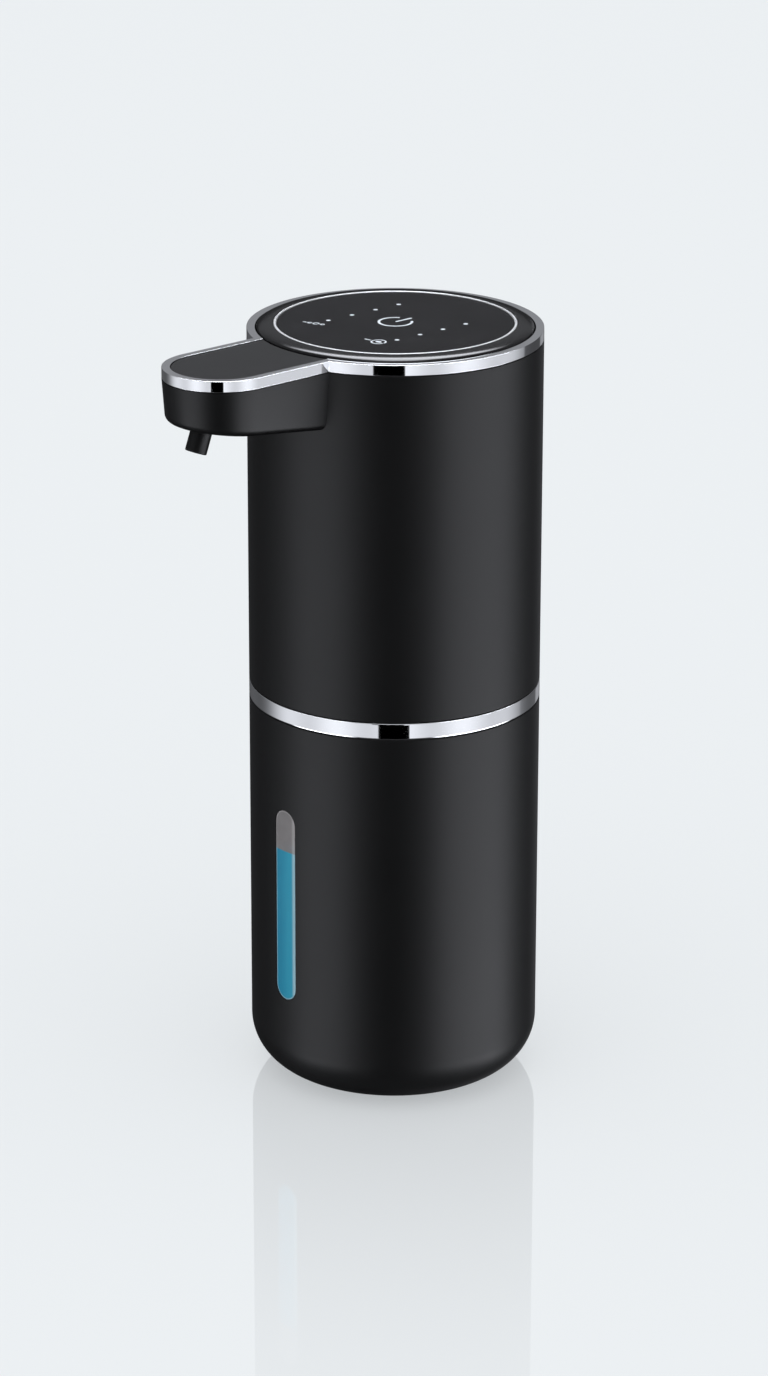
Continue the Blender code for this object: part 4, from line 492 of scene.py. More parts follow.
class Graph:
    """The nodes of one material or of the world."""

    def __init__(self, tree: bpy.types.NodeTree) -> None:
        """Take over an empty node tree."""
        tree.nodes.clear()
        self.tree = tree

    def add(self, kind: str, settings: dict[str, Any] | None = None,
            inputs: dict[str | int, Any] | None = None, output: str | int = 0) -> Term:
        """Add a node.

        Args:
            kind: Type of the node.
            settings: Its settings, set first; "stops" are a ramp's positions and colours.
            inputs: Values or terms for its input sockets.
            output: Which output is wanted.

        Returns:
            The wanted output.
        """
        node = self.tree.nodes.new(kind)
        for key, value in (settings or {}).items():
            if key == "stops":
                first, *middle, last = value
                for element, stop in ((node.color_ramp.elements[0], first),
                                      (node.color_ramp.elements[-1], last)):
                    element.position, element.color = stop
                for position, colour in middle:
                    node.color_ramp.elements.new(position).color = colour
            else:
                setattr(node, key, value)
        for key, value in (inputs or {}).items():
            if isinstance(value, Term):
                self.tree.links.new(value.socket, node.inputs[key])
            else:
                node.inputs[key].default_value = value
        return Term(self, node.outputs[output])

    def place(self) -> Term:
        """Object coordinates."""
        return self.add("ShaderNodeTexCoord", output="Object")

    def axis(self, vector: Term, name: str) -> Term:
        """One of X, Y and Z of a vector."""
        return self.add("ShaderNodeSeparateXYZ", inputs={0: vector}, output=name)

    def noise(self, vector: Term, width: float, detail: float = 2.0,
              stretch: Point = (1, 1)) -> Term:
        """Noise whose features are about the given width.

        Args:
            vector: Where it is read.
            width: Width of one feature in metres.
            detail: Finer layers.
            stretch: How far it is drawn out across and up.

        Returns:
            A value from 0 to 1.
        """
        if stretch != (1, 1):
            scale = (1 / stretch[0], 1 / stretch[0], 1 / stretch[1])
            vector = self.add("ShaderNodeMapping", inputs={"Vector": vector, "Scale": scale})
        return self.add("ShaderNodeTexNoise", inputs={
            "Vector": vector, "Scale": 1 / width, "Detail": detail}, output="Fac")

    def blend(self, share: Term | float, first: Any, second: Any) -> Term:
        """Mix two colours.

        Args:
            share: 0 for the first, 1 for the second.
            first: A colour or a term.
            second: A colour or a term.

        Returns:
            The mixed colour.
        """
        colours = [c if isinstance(c, Term) else (*c, 1.0) for c in (first, second)]
        return self.add("ShaderNodeMix", {"data_type": "RGBA"},
                        {0: share, 6: colours[0], 7: colours[1]}, output=2)

    def bump(self, height: Term, depth: float) -> Term:
        """A normal disturbed by a height from 0 to 1, whose full depth is in metres."""
        return self.add("ShaderNodeBump", inputs={
            "Height": height, "Distance": depth, "Strength": 1.0})

    def surface(self, inputs: dict[str, Any]) -> Term:
        """The main shader, with terms linked and values set on its own sockets."""
        return self.add("ShaderNodeBsdfPrincipled", inputs=inputs)

    def finish(self, shader: Term, kind: str = "ShaderNodeOutputMaterial") -> None:
        """Join a shader to the output of a material or, by its kind, of the world."""
        node = self.tree.nodes.new(kind)
        self.tree.links.new(shader.socket, node.inputs["Surface"])


def shade(colour: Colour, share: float) -> Colour:
    """The colour times a share."""
    return tuple(min(1.0, channel * share) for channel in colour)


def new_graph(name: str) -> tuple[bpy.types.Material, Graph]:
    """Start a fresh material.

    Args:
        name: Name of the material.

    Returns:
        The material and the graph of its nodes.
    """
    material = bpy.data.materials.new(name)
    material.use_nodes = True
    return material, Graph(material.node_tree)


# Finishes

@dataclass(frozen=True)
class Finish:
    """What a surface is made of. Each kind says how its shader varies over the surface."""

    name: str

    def make(self) -> bpy.types.Material:
        """Build the material of the finish.

        Returns:
            The material, with its name.
        """
        material, graph = new_graph(self.name)
        graph.finish(self.shader(graph, graph.place()))
        return material

    def shader(self, graph: Graph, place: Term) -> Term:
        """Build the shader of the surface.

        Args:
            graph: The nodes of the material.
            place: Object coordinates.

        Returns:
            The shader.
        """
        raise NotImplementedError


@dataclass(frozen=True)
class MouldedPlastic(Finish):
    """Injection moulded plastic: a fine eroded grain, slow gloss changes and faint clouding."""

    colour: Colour
    roughness: float
    specular: float = 0.5
    grain: float = 0.14 * MM
    grain_depth: float = 0.004 * MM
    clouding: float = 0.15
    gloss_change: float = 0.06

    def shader(self, graph: Graph, place: Term) -> Term:
        """Cloud the colour, vary the gloss and raise the grain.

        Args:
            graph: The nodes of the material.
            place: Object coordinates.

        Returns:
            The shader.
        """
        grain = graph.noise(place, self.grain, 1.0)
        patches = graph.noise(place, 22 * MM, 3.0)
        colour = graph.blend(patches, shade(self.colour, 1 - self.clouding),
                             shade(self.colour, 1 + self.clouding))
        roughness = self.roughness + (patches - 0.5) * self.gloss_change + (grain - 0.5) * 0.04
        return graph.surface({
            "Base Color": colour, "Roughness": roughness,
            "Normal": graph.bump(grain, self.grain_depth), "Specular IOR Level": self.specular})


@dataclass(frozen=True)
class BrightPlate(Finish):
    """Bright plating: a near mirror with faint wiping marks."""

    colour: Colour = (0.9, 0.91, 0.925)
    roughness: float = 0.035

    def shader(self, graph: Graph, place: Term) -> Term:
        """Draw out the wiping marks and scatter a few specks.

        Args:
            graph: The nodes of the material.
            place: Object coordinates.

        Returns:
            The shader.
        """
        wiped = graph.noise(place, 5 * MM, 2.0, (3.0, 0.6))
        specks = graph.noise(place, 0.5 * MM, 2.0).rise(0.62, 0.8)
        colour = graph.blend(wiped, shade(self.colour, 0.985), self.colour)
        roughness = self.roughness + wiped * 0.03 + specks * 0.01
        return graph.surface({"Base Color": colour, "Roughness": roughness, "Metallic": 1.0})


@dataclass(frozen=True)
class SmokedPanel(Finish):
    """Dark smoked touch panel: hard coated, with faint finger haze."""

    colour: Colour = (0.005, 0.005, 0.0056)

    def shader(self, graph: Graph, place: Term) -> Term:
        """Lay the haze over the dark panel.

        Args:
            graph: The nodes of the material.
            place: Object coordinates.

        Returns:
            The shader.
        """
        haze = graph.noise(place, 9 * MM, 4.0).rise(0.35, 0.7)
        fine = graph.noise(place, 0.09 * MM, 1.0)
        colour = graph.blend(haze, self.colour, shade(self.colour, 1.25))
        roughness = 0.22 + haze * 0.05 + (fine - 0.5) * 0.02
        return graph.surface({
            "Base Color": colour, "Roughness": roughness,
            "Normal": graph.bump(fine, 0.0004 * MM), "Specular IOR Level": 0.08})


@dataclass(frozen=True)
class ClearInsert(Finish):
    """Clear moulded insert: blue with soap below the liquid's level and misted above it, with a
    painted highlight round its rim and painted light and shade across it.
    """

    level: float
    half: float = 3.45 * MM
    middle: float = 50.05 * MM
    run: float = 21.25 * MM
    misted: Colour = (0.235, 0.225, 0.23)
    shaded_blue: Colour = (0.012, 0.19, 0.32)
    pale: Colour = (0.035, 0.3, 0.43)
    # Colour of the painted highlight round the rim and down the +X side.
    edge: Colour = (0.36, 0.5, 0.56)

    def shader(self, graph: Graph, place: Term) -> Term:
        """Part soap and mist at the level, paint a highlight round the insert's rim and down its +X
        side, and paint it paler towards +X and darker towards -X.

        Args:
            graph: The nodes of the material.
            place: Object coordinates.

        Returns:
            The shader.
        """
        height, across = graph.axis(place, "Z"), graph.axis(place, "X")
        mist = height.rise(self.level - 0.2 * MM, self.level + 0.2 * MM)
        beads = graph.noise(place, 2.4 * MM, 4.0)
        drift = graph.noise(place, 1.3 * MM, 2.0, (1.0, 9.0))
        past = (height - self.middle).size() - self.run
        past = past.maths("MAXIMUM", past, 0.0)
        reach = (across * across + past * past) ** 0.5
        # Painted highlight: a pale band round the insert's outline and a wider one down its +X
        # side, standing in for light caught by its rounded edge.
        outline = reach.rise(self.half * 0.86, self.half * 0.97)
        rim = across.rise(self.half * 0.62, self.half * 0.86)
        rim = rim.maths("MAXIMUM", rim, outline * 0.8)
        # Painted light and shade: paler towards +X, where light falls, darker towards -X, with
        # drifting streaks.
        blue = across.rise(-self.half, self.half) * 0.7 + drift * 0.3
        soap = graph.blend(rim * 0.75, graph.blend(blue, self.shaded_blue, self.pale), self.edge)
        # The misted part takes the same painted rim highlight.
        air = graph.blend(beads * 0.35 + rim * 0.65, shade(self.misted, 0.8),
                          shade(self.misted, 1.7))
        return graph.surface({
            "Base Color": graph.blend(mist, soap, air), "Roughness": 0.1 + mist * beads * 0.2,
            "Alpha": 0.82 - mist * (0.12 + beads * 0.08),
            "Normal": graph.bump(beads, 0.006 * MM), "Specular IOR Level": 0.15})


@dataclass(frozen=True)
class LiquidSoap(Finish):
    """Blue liquid soap: clean surface, with painted light and shade: paler towards +X, where light
    falls, and darker towards -X.
    """

    pale: Colour = (0.09, 0.43, 0.62)
    shaded_blue: Colour = (0.05, 0.33, 0.5)

    def shader(self, graph: Graph, place: Term) -> Term:
        """Paint light and shade across the soap, darker towards -X and paler towards +X, and swirl
        it a little.

        Args:
            graph: The nodes of the material.
            place: Object coordinates.

        Returns:
            The shader.
        """
        # Painted light and shade: darker towards -X, paler towards +X, where light falls.
        across = graph.axis(place, "X").rise(-4 * MM, 4.5 * MM)
        swirl = graph.noise(place, 7 * MM, 2.0, (1.0, 3.0))
        colour = graph.blend(across * 0.8 + swirl * 0.2, self.shaded_blue, self.pale)
        return graph.surface({
            "Base Color": colour, "Roughness": 0.1 + swirl * 0.05, "IOR": 1.36})


@dataclass(frozen=True)
class SoftSilicone(Finish):
    """Soft silicone: waxy, dusty in patches, with a faint flow pattern."""

    colour: Colour
    roughness: float = 0.55

    def shader(self, graph: Graph, place: Term) -> Term:
        """Lay dust and flow over the colour.

        Args:
            graph: The nodes of the material.
            place: Object coordinates.

        Returns:
            The shader.
        """
        dust = graph.noise(place, 1.6 * MM, 4.0).rise(0.5, 0.8)
        flow = graph.noise(place, 12 * MM, 2.0, (1.0, 2.5))
        fine = graph.noise(place, 0.2 * MM, 1.0)
        colour = graph.blend(dust * 0.35 + flow * 0.2, self.colour, shade(self.colour, 1.3))
        return graph.surface({
            "Base Color": colour, "Roughness": self.roughness + dust * 0.15,
            "Normal": graph.bump(fine, 0.006 * MM), "Specular IOR Level": 0.35})


@dataclass(frozen=True)
class DrawnSteel(Finish):
    """Plain drawn steel: fine streaks along Z and slow changes of tone."""

    colour: Colour = (0.6, 0.6, 0.61)
    roughness: float = 0.26

    def shader(self, graph: Graph, place: Term) -> Term:
        """Draw the streaks and change the tone.

        Args:
            graph: The nodes of the material.
            place: Object coordinates.

        Returns:
            The shader.
        """
        streak = graph.noise(place, 0.22 * MM, 2.0, (1.0, 14.0))
        tone = graph.noise(place, 6 * MM, 2.0)
        colour = graph.blend(tone * 0.6 + streak * 0.4, shade(self.colour, 0.82),
                             shade(self.colour, 1.1))
        return graph.surface({
            "Base Color": colour, "Roughness": self.roughness + streak * 0.16,
            "Normal": graph.bump(streak, 0.004 * MM), "Metallic": 1.0})


@dataclass(frozen=True)
class CircuitBoard(Finish):
    """Circuit board: green solder mask over copper tracks, with tinned pads."""

    mask: Colour = (0.012, 0.115, 0.05)
    track: Colour = (0.03, 0.2, 0.085)
    pad: Colour = (0.62, 0.63, 0.62)

    def shader(self, graph: Graph, place: Term) -> Term:
        """Lay tracks and pads over the board.

        Args:
            graph: The nodes of the material.
            place: Object coordinates.

        Returns:
            The shader.
        """
        cells = graph.add("ShaderNodeTexVoronoi", {"distance": "MANHATTAN"}, {
            "Vector": place, "Scale": 1 / (2.6 * MM), "Randomness": 0.75}, output="Distance")
        waves = graph.add("ShaderNodeTexWave", {"wave_profile": "TRI"}, {
            "Vector": place, "Scale": 1 / (9 * MM), "Distortion": 3.0, "Detail": 0.0},
            output="Fac")
        tracks = waves.between(0.42, 0.6, 0.03)
        pads = 1 - cells.rise(0.16, 0.2)
        weave = graph.noise(place, 0.35 * MM, 1.0)
        colour = graph.blend(pads, graph.blend(tracks, self.mask, self.track), self.pad)
        return graph.surface({
            "Base Color": colour, "Metallic": pads * 0.9, "Roughness": 0.3 + weave * 0.12,
            "Normal": graph.bump(tracks + pads, 0.02 * MM), "IOR": 1.5})


@dataclass(frozen=True)
class WrappedCell(Finish):
    """Battery cell: shrunk film with bare metal at both ends."""

    low: float = 116.1 * MM
    high: float = 181.3 * MM
    film: Colour = (0.05, 0.22, 0.42)
    metal: Colour = (0.66, 0.66, 0.65)

    def shader(self, graph: Graph, place: Term) -> Term:
        """Wrap the film round the metal, with its seam and crinkles.

        Args:
            graph: The nodes of the material.
            place: Object coordinates.

        Returns:
            The shader.
        """
        height = graph.axis(place, "Z")
        wrapped = height.between(self.low + 0.9 * MM, self.high - 1.6 * MM, 0.05 * MM)
        seam = graph.axis(place, "X").between(-0.15 * MM, 0.15 * MM, 0.05 * MM)
        crinkle = graph.noise(place, 1.5 * MM, 3.0, (1.0, 4.0))
        film = graph.blend(seam * 0.5 + crinkle * 0.2, self.film, shade(self.film, 0.6))
        return graph.surface({
            "Base Color": graph.blend(wrapped, self.metal, film), "Metallic": 1 - wrapped,
            "Roughness": 0.24 + crinkle * 0.12,
            "Normal": graph.bump(crinkle + seam, 0.02 * MM), "IOR": 1.5})


@dataclass(frozen=True)
class Insulation(Finish):
    """Insulation of a wire: glossy, with a faint orange peel and handling dust."""

    colour: Colour

    def shader(self, graph: Graph, place: Term) -> Term:
        """Lay the dust over the peel.

        Args:
            graph: The nodes of the material.
            place: Object coordinates.

        Returns:
            The shader.
        """
        peel = graph.noise(place, 0.5 * MM, 2.0)
        dust = graph.noise(place, 3 * MM, 3.0).rise(0.5, 0.75)
        colour = graph.blend(dust * 0.3, self.colour, shade(self.colour, 1.5))
        return graph.surface({
            "Base Color": colour, "Roughness": 0.28 + dust * 0.15,
            "Normal": graph.bump(peel, 0.01 * MM), "Specular IOR Level": 0.5})


@dataclass(frozen=True)
class PrintedMark(Finish):
    """Pale light marks of the panel, a little uneven as lit film is."""

    colour: Colour = (0.74, 0.8, 0.87)

    def shader(self, graph: Graph, place: Term) -> Term:
        """Make the pale colour a little uneven.

        Args:
            graph: The nodes of the material.
            place: Object coordinates.

        Returns:
            The shader.
        """
        uneven = graph.noise(place, 1.2 * MM, 2.0)
        colour = graph.blend(uneven, shade(self.colour, 0.88), shade(self.colour, 1.1))
        return graph.surface({
            "Base Color": colour, "Roughness": 0.4 + uneven * 0.1, "IOR": 1.4})


@dataclass(frozen=True)
class SilverLine(Finish):
    """Satin silver of the thin ring round the panel, with a fine turning mark."""

    colour: Colour = (0.62, 0.63, 0.65)

    def shader(self, graph: Graph, place: Term) -> Term:
        """Vary the tone slowly and the gloss finely.

        Args:
            graph: The nodes of the material.
            place: Object coordinates.

        Returns:
            The shader.
        """
        turned = graph.noise(place, 0.4 * MM, 2.0)
        tone = graph.noise(place, 8 * MM, 2.0)
        colour = graph.blend(tone, shade(self.colour, 0.9), shade(self.colour, 1.08))
        return graph.surface({
            "Base Color": colour, "Roughness": 0.3 + turned * 0.1, "Metallic": 0.45})


FINISHES = {finish.name: finish for finish in (
    MouldedPlastic("satin_black", (0.0016, 0.0017, 0.0019), roughness=0.42, specular=0.2),
    MouldedPlastic("deck_black", (0.006, 0.006, 0.0065), roughness=0.4, specular=0.1,
                   grain=0.18 * MM, grain_depth=0.005 * MM),
    MouldedPlastic("gloss_black", (0.004, 0.004, 0.0044), roughness=0.16, specular=0.28,
                   grain=0.5 * MM, grain_depth=0.001 * MM, clouding=0.1, gloss_change=0.04),
    SmokedPanel("panel_glass"),
    BrightPlate("bright_chrome"),
    ClearInsert("clear_window", LIQUID_LEVEL),
    SoftSilicone("silicone_black", (0.016, 0.016, 0.017)),
    SoftSilicone("silicone_clear", (0.6, 0.61, 0.59), roughness=0.35),
    MouldedPlastic("nylon_white", (0.66, 0.65, 0.61), roughness=0.48,
                   grain=0.2 * MM, grain_depth=0.006 * MM, clouding=0.06),
    MouldedPlastic("nylon_grey", (0.14, 0.145, 0.15), roughness=0.5,
                   grain=0.2 * MM, grain_depth=0.008 * MM, clouding=0.1),
    DrawnSteel("steel"),
    CircuitBoard("board_green"),
    WrappedCell("cell_wrap"),
    Insulation("wire_red", (0.42, 0.02, 0.015)),
    Insulation("wire_black", (0.012, 0.012, 0.012)),
    Insulation("wire_grey", (0.3, 0.3, 0.3)),
    LiquidSoap("liquid_soap"),
    SilverLine("silver_line"),
    PrintedMark("light_mark"),
)}


class Wardrobe:
    """The built materials, one for each finish."""

    def __init__(self) -> None:
        """Build every finish once."""
        self.materials = {name: finish.make() for name, finish in FINISHES.items()}

    def hang(self, piece: bpy.types.Object, finish: str, body: str, *nodes: str,
             slot: str = "") -> None:
        """Dress a finished piece and hang it on its body.

        Args:
            piece: The piece.
            finish: Name of its finish.
            body: The body that carries it.
            nodes: The CAD nodes that it stands for.
            slot: Its slot, where that isn't the finish; not used.
        """
        piece.data.materials.clear()
        piece.data.materials.append(self.materials[finish])
        if nodes:
            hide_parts(*nodes)
        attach(piece, body)
        log.info("%s: %d faces on %s", piece.name, len(piece.data.polygons), body)

    def dress_nodes(self, nodes: dict[str, bpy.types.Object]) -> None:
        """Give each CAD node the finish of its slot.

        Args:
            nodes: The CAD nodes by their names.
        """
        for node in nodes.values():
            for slot in node.material_slots:
                name = slot.material.name.split(".")[0] if slot.material else ""
                if name in self.materials:
                    slot.material = self.materials[name]


# Sub-assemblies

@dataclass
class Bottle:
    """The liquid bottle with its window, its foot pad and the soap in it."""

    wardrobe: Wardrobe
    low: float = 0.4 * MM
    height: float = 97.4 * MM
    foot_round: float = 12.5 * MM
    wall_levels: tuple[float, ...] = (14.2 * MM, 22.5 * MM, 50 * MM, 77.5 * MM)
    seat_radius: float = 20.3 * MM
    seat: float = 1.7 * MM
    floor: float = 3.2 * MM
    floor_centre: Point = (22.2 * MM, 13.7 * MM)
    floor_radii: Point = (11.5 * MM, 10.5 * MM)
    inside: float = 33.7 * MM
    neck: float = 25.9 * MM
    neck_inside: float = 24.1 * MM
    neck_top: float = 110 * MM
    slot_half: float = 3.6 * MM
    slot_low: float = 25.2 * MM
    slot_high: float = 74.9 * MM
    pocket_low: float = 22.5 * MM
    pocket_high: float = 77.5 * MM
    thread_low: float = 101.2 * MM
    thread_crest: float = 0.34 * MM
    thread_pitch: float = 3.2 * MM
    thread_turns: float = 1.9
    lens_half: float = 3.45 * MM
    lens_low: float = 25.35 * MM
    lens_high: float = 74.75 * MM
    lens_inside: float = 32.2 * MM
    lens_face: float = 35.42 * MM
    flange_half: float = 5.6 * MM
    flange_low: float = 23.2 * MM
    flange_high: float = 76.9 * MM
    flange_face: float = 33.4 * MM
    soap_well: float = 11.4 * MM
    soap_outer: float = 33.4 * MM
    soap_floor: float = 3.5 * MM
    soap_radii: Point = (11.2 * MM, 10.2 * MM)
    soap_steps: int = 160

    def build(self) -> None:
        """Make the pieces of the bottle."""
        self.shell()
        self.window()
        self.pad()
        self.soap()

    def shell(self) -> None:
        """Turn the bottle, cut the window's slot and add the thread of the neck."""
        centre = (BODY_RADIUS - self.foot_round, self.low + self.foot_round)
        corners: list[Corner] = [
            (0, self.seat, 0), (self.seat_radius, self.seat, 0.2 * MM),
            (self.seat_radius, self.low, 0.3 * MM),
        ]
        corners += sharp(arc(centre, (self.foot_round, self.foot_round), -math.pi / 2, 0, 36))
        corners += [(BODY_RADIUS, level, 0) for level in self.wall_levels]
        corners += [
            (BODY_RADIUS, self.height, 0.35 * MM), (self.neck, self.height, 0.5 * MM),
            (self.neck, self.neck_top, 0.4 * MM), (self.neck_inside, self.neck_top, 0.4 * MM),
            (self.neck_inside, self.height - WALL, 0.6 * MM),
            (self.inside, self.height - WALL, 1.2 * MM),
            (self.inside, self.pocket_high, 0), (self.inside, self.pocket_low, 0),
        ]
        corners += sharp(arc(self.floor_centre, self.floor_radii, 0, -math.pi / 2, 16))
        corners.append((0, self.floor, 0))
        shell = lathe("dressed_bottle_shell", round_corners(corners, closed=False))
        outline = upright_slot(self.slot_half, self.slot_low, self.slot_high)
        carve(shell, Carve.TAKE, slab("window_cut", outline, 30 * MM, 38 * MM, FRONT))
        smooth(shell)
        self.wardrobe.hang(shell, "satin_black", "bottle", "bottle_shell")
        self.thread()

    def thread(self) -> None:
        """Wind the ridge of the neck's thread from one small section."""
        low, crest = self.thread_low, self.neck + self.thread_crest
        root = self.neck - 0.25 * MM
        section = [(root, low), (self.neck, low + 0.1 * MM), (crest, low + 0.55 * MM),
                   (crest, low + 0.85 * MM), (self.neck, low + 1.3 * MM), (root, low + 1.4 * MM)]
        thread = trace("neck_thread", [Vector((x, 0, z)) for x, z in section], True)
        modifier = thread.modifiers.new("wind", "SCREW")
        modifier.angle = TURN * self.thread_turns
        modifier.screw_offset = self.thread_pitch * self.thread_turns
        modifier.steps = modifier.render_steps = round(96 * self.thread_turns)
        modifier.use_smooth_shade = True
        apply_last(thread)
        with editing(thread):
            bpy.ops.mesh.select_all(action="SELECT")
            bpy.ops.mesh.fill_holes(sides=0)
            bpy.ops.mesh.select_all(action="SELECT")
            bpy.ops.mesh.normals_make_consistent(inside=False)
        smooth(thread, 50)
        self.wardrobe.hang(thread, "satin_black", "bottle")

    def window(self) -> None:
        """Cut the lens and its flange from rings of the wall's own curve."""
        curve = hoop(self.lens_inside, self.lens_face, 24 * MM, 76 * MM)
        lens = lathe("dressed_sight_window", curve, True)
        outline = upright_slot(self.lens_half, self.lens_low, self.lens_high)
        carve(lens, Carve.KEEP, slab("lens_cut", outline, 30 * MM, 37 * MM, FRONT))
        soften(lens, 0.3 * MM, 50)
        curve = hoop(self.lens_inside, self.flange_face, 23 * MM, 77 * MM)
        flange = lathe("window_flange", curve, True)
        outline = upright_slot(self.flange_half, self.flange_low, self.flange_high)
        carve(flange, Carve.KEEP, slab("flange_cut", outline, 30 * MM, 37 * MM, FRONT))
        carve(lens, Carve.ADD, flange)
        smooth(lens, 40)
        self.wardrobe.hang(lens, "clear_window", "bottle", "sight_window")

    def pad(self) -> None:
        """Turn the foot pad, with two grip grooves in its lower face."""
        pad = lathe("dressed_foot_pad", round_corners(in_mm(
            (0, 0, 0), (13, 0, 0.1), (13.2, 0.3, 0.1), (14.2, 0.3, 0.1), (14.4, 0, 0.1),
            (16.8, 0, 0.1), (17, 0.3, 0.1), (18, 0.3, 0.1), (18.2, 0, 0.1),
            (20, 0, 0.3), (20, 1.4, 0.2), (0, 1.4, 0)), closed=False, steps=4), steps=128)
        smooth(pad)
        self.wardrobe.hang(pad, "silicone_black", "bottle", "foot_pad")

    def soap(self) -> None:
        """Turn the liquid, hollow round the axis where the suction tube turns and lifts."""
        corners: list[Corner] = [(self.soap_well, self.soap_floor, 0)]
        corners += sharp(arc(self.floor_centre, self.soap_radii, -math.pi / 2, 0, 12))
        corners += [
            (self.soap_outer, LIQUID_LEVEL + 0.6 * MM, 0),
            (32.9 * MM, LIQUID_LEVEL + 0.15 * MM, 0),
            (32.0 * MM, LIQUID_LEVEL, 0), (self.soap_well, LIQUID_LEVEL, 0),
        ]
        soap = lathe("liquid_soap", round_corners(corners), True, self.soap_steps)
        room = lathe("flange_room", hoop(32.0 * MM, 34 * MM, 22.6 * MM, 77.5 * MM), True,
                     self.soap_steps)
        outline = upright_slot(5.85 * MM, 22.9 * MM, 77.2 * MM)
        carve(room, Carve.KEEP, slab("room_cut", outline, 28 * MM, 36 * MM, FRONT))
        carve(soap, Carve.TAKE, room)
        smooth(soap)
        self.wardrobe.hang(soap, "liquid_soap", "bottle")


@dataclass
class Joint:
    """What joins bottle and head: the seal on the neck and the bright ring under the housing."""

    wardrobe: Wardrobe
    ring_inside: float = 33.7 * MM
    ring_low: float = 97.55 * MM
    ring_high: float = 101.4 * MM
    inner_edge: float = 0.15 * MM
    outer_edge: float = 0.1 * MM

    def build(self) -> None:
        """Make the seal and the ring."""
        seal = lathe("dressed_neck_seal", round_corners(in_mm(
            (22.8, 107.5, 0.3), (23.8, 107.5, 0.3), (23.8, 110.15, 0.2),
            (25.9, 110.15, 0.3), (25.9, 111.35, 0.3), (22.8, 111.35, 0.3)), steps=4), True, 160)
        smooth(seal)
        self.wardrobe.hang(seal, "silicone_clear", "seal", "neck_seal")
        ring = lathe("dressed_mid_trim_ring", round_corners([
            (self.ring_inside, self.ring_low, self.inner_edge),
            (BODY_RADIUS, self.ring_low, self.outer_edge),
            (BODY_RADIUS, self.ring_high, self.outer_edge),
            (self.ring_inside, self.ring_high, self.inner_edge),
        ], steps=5), True)
        smooth(ring)
        self.wardrobe.hang(ring, "bright_chrome", "head", "mid_trim_ring")


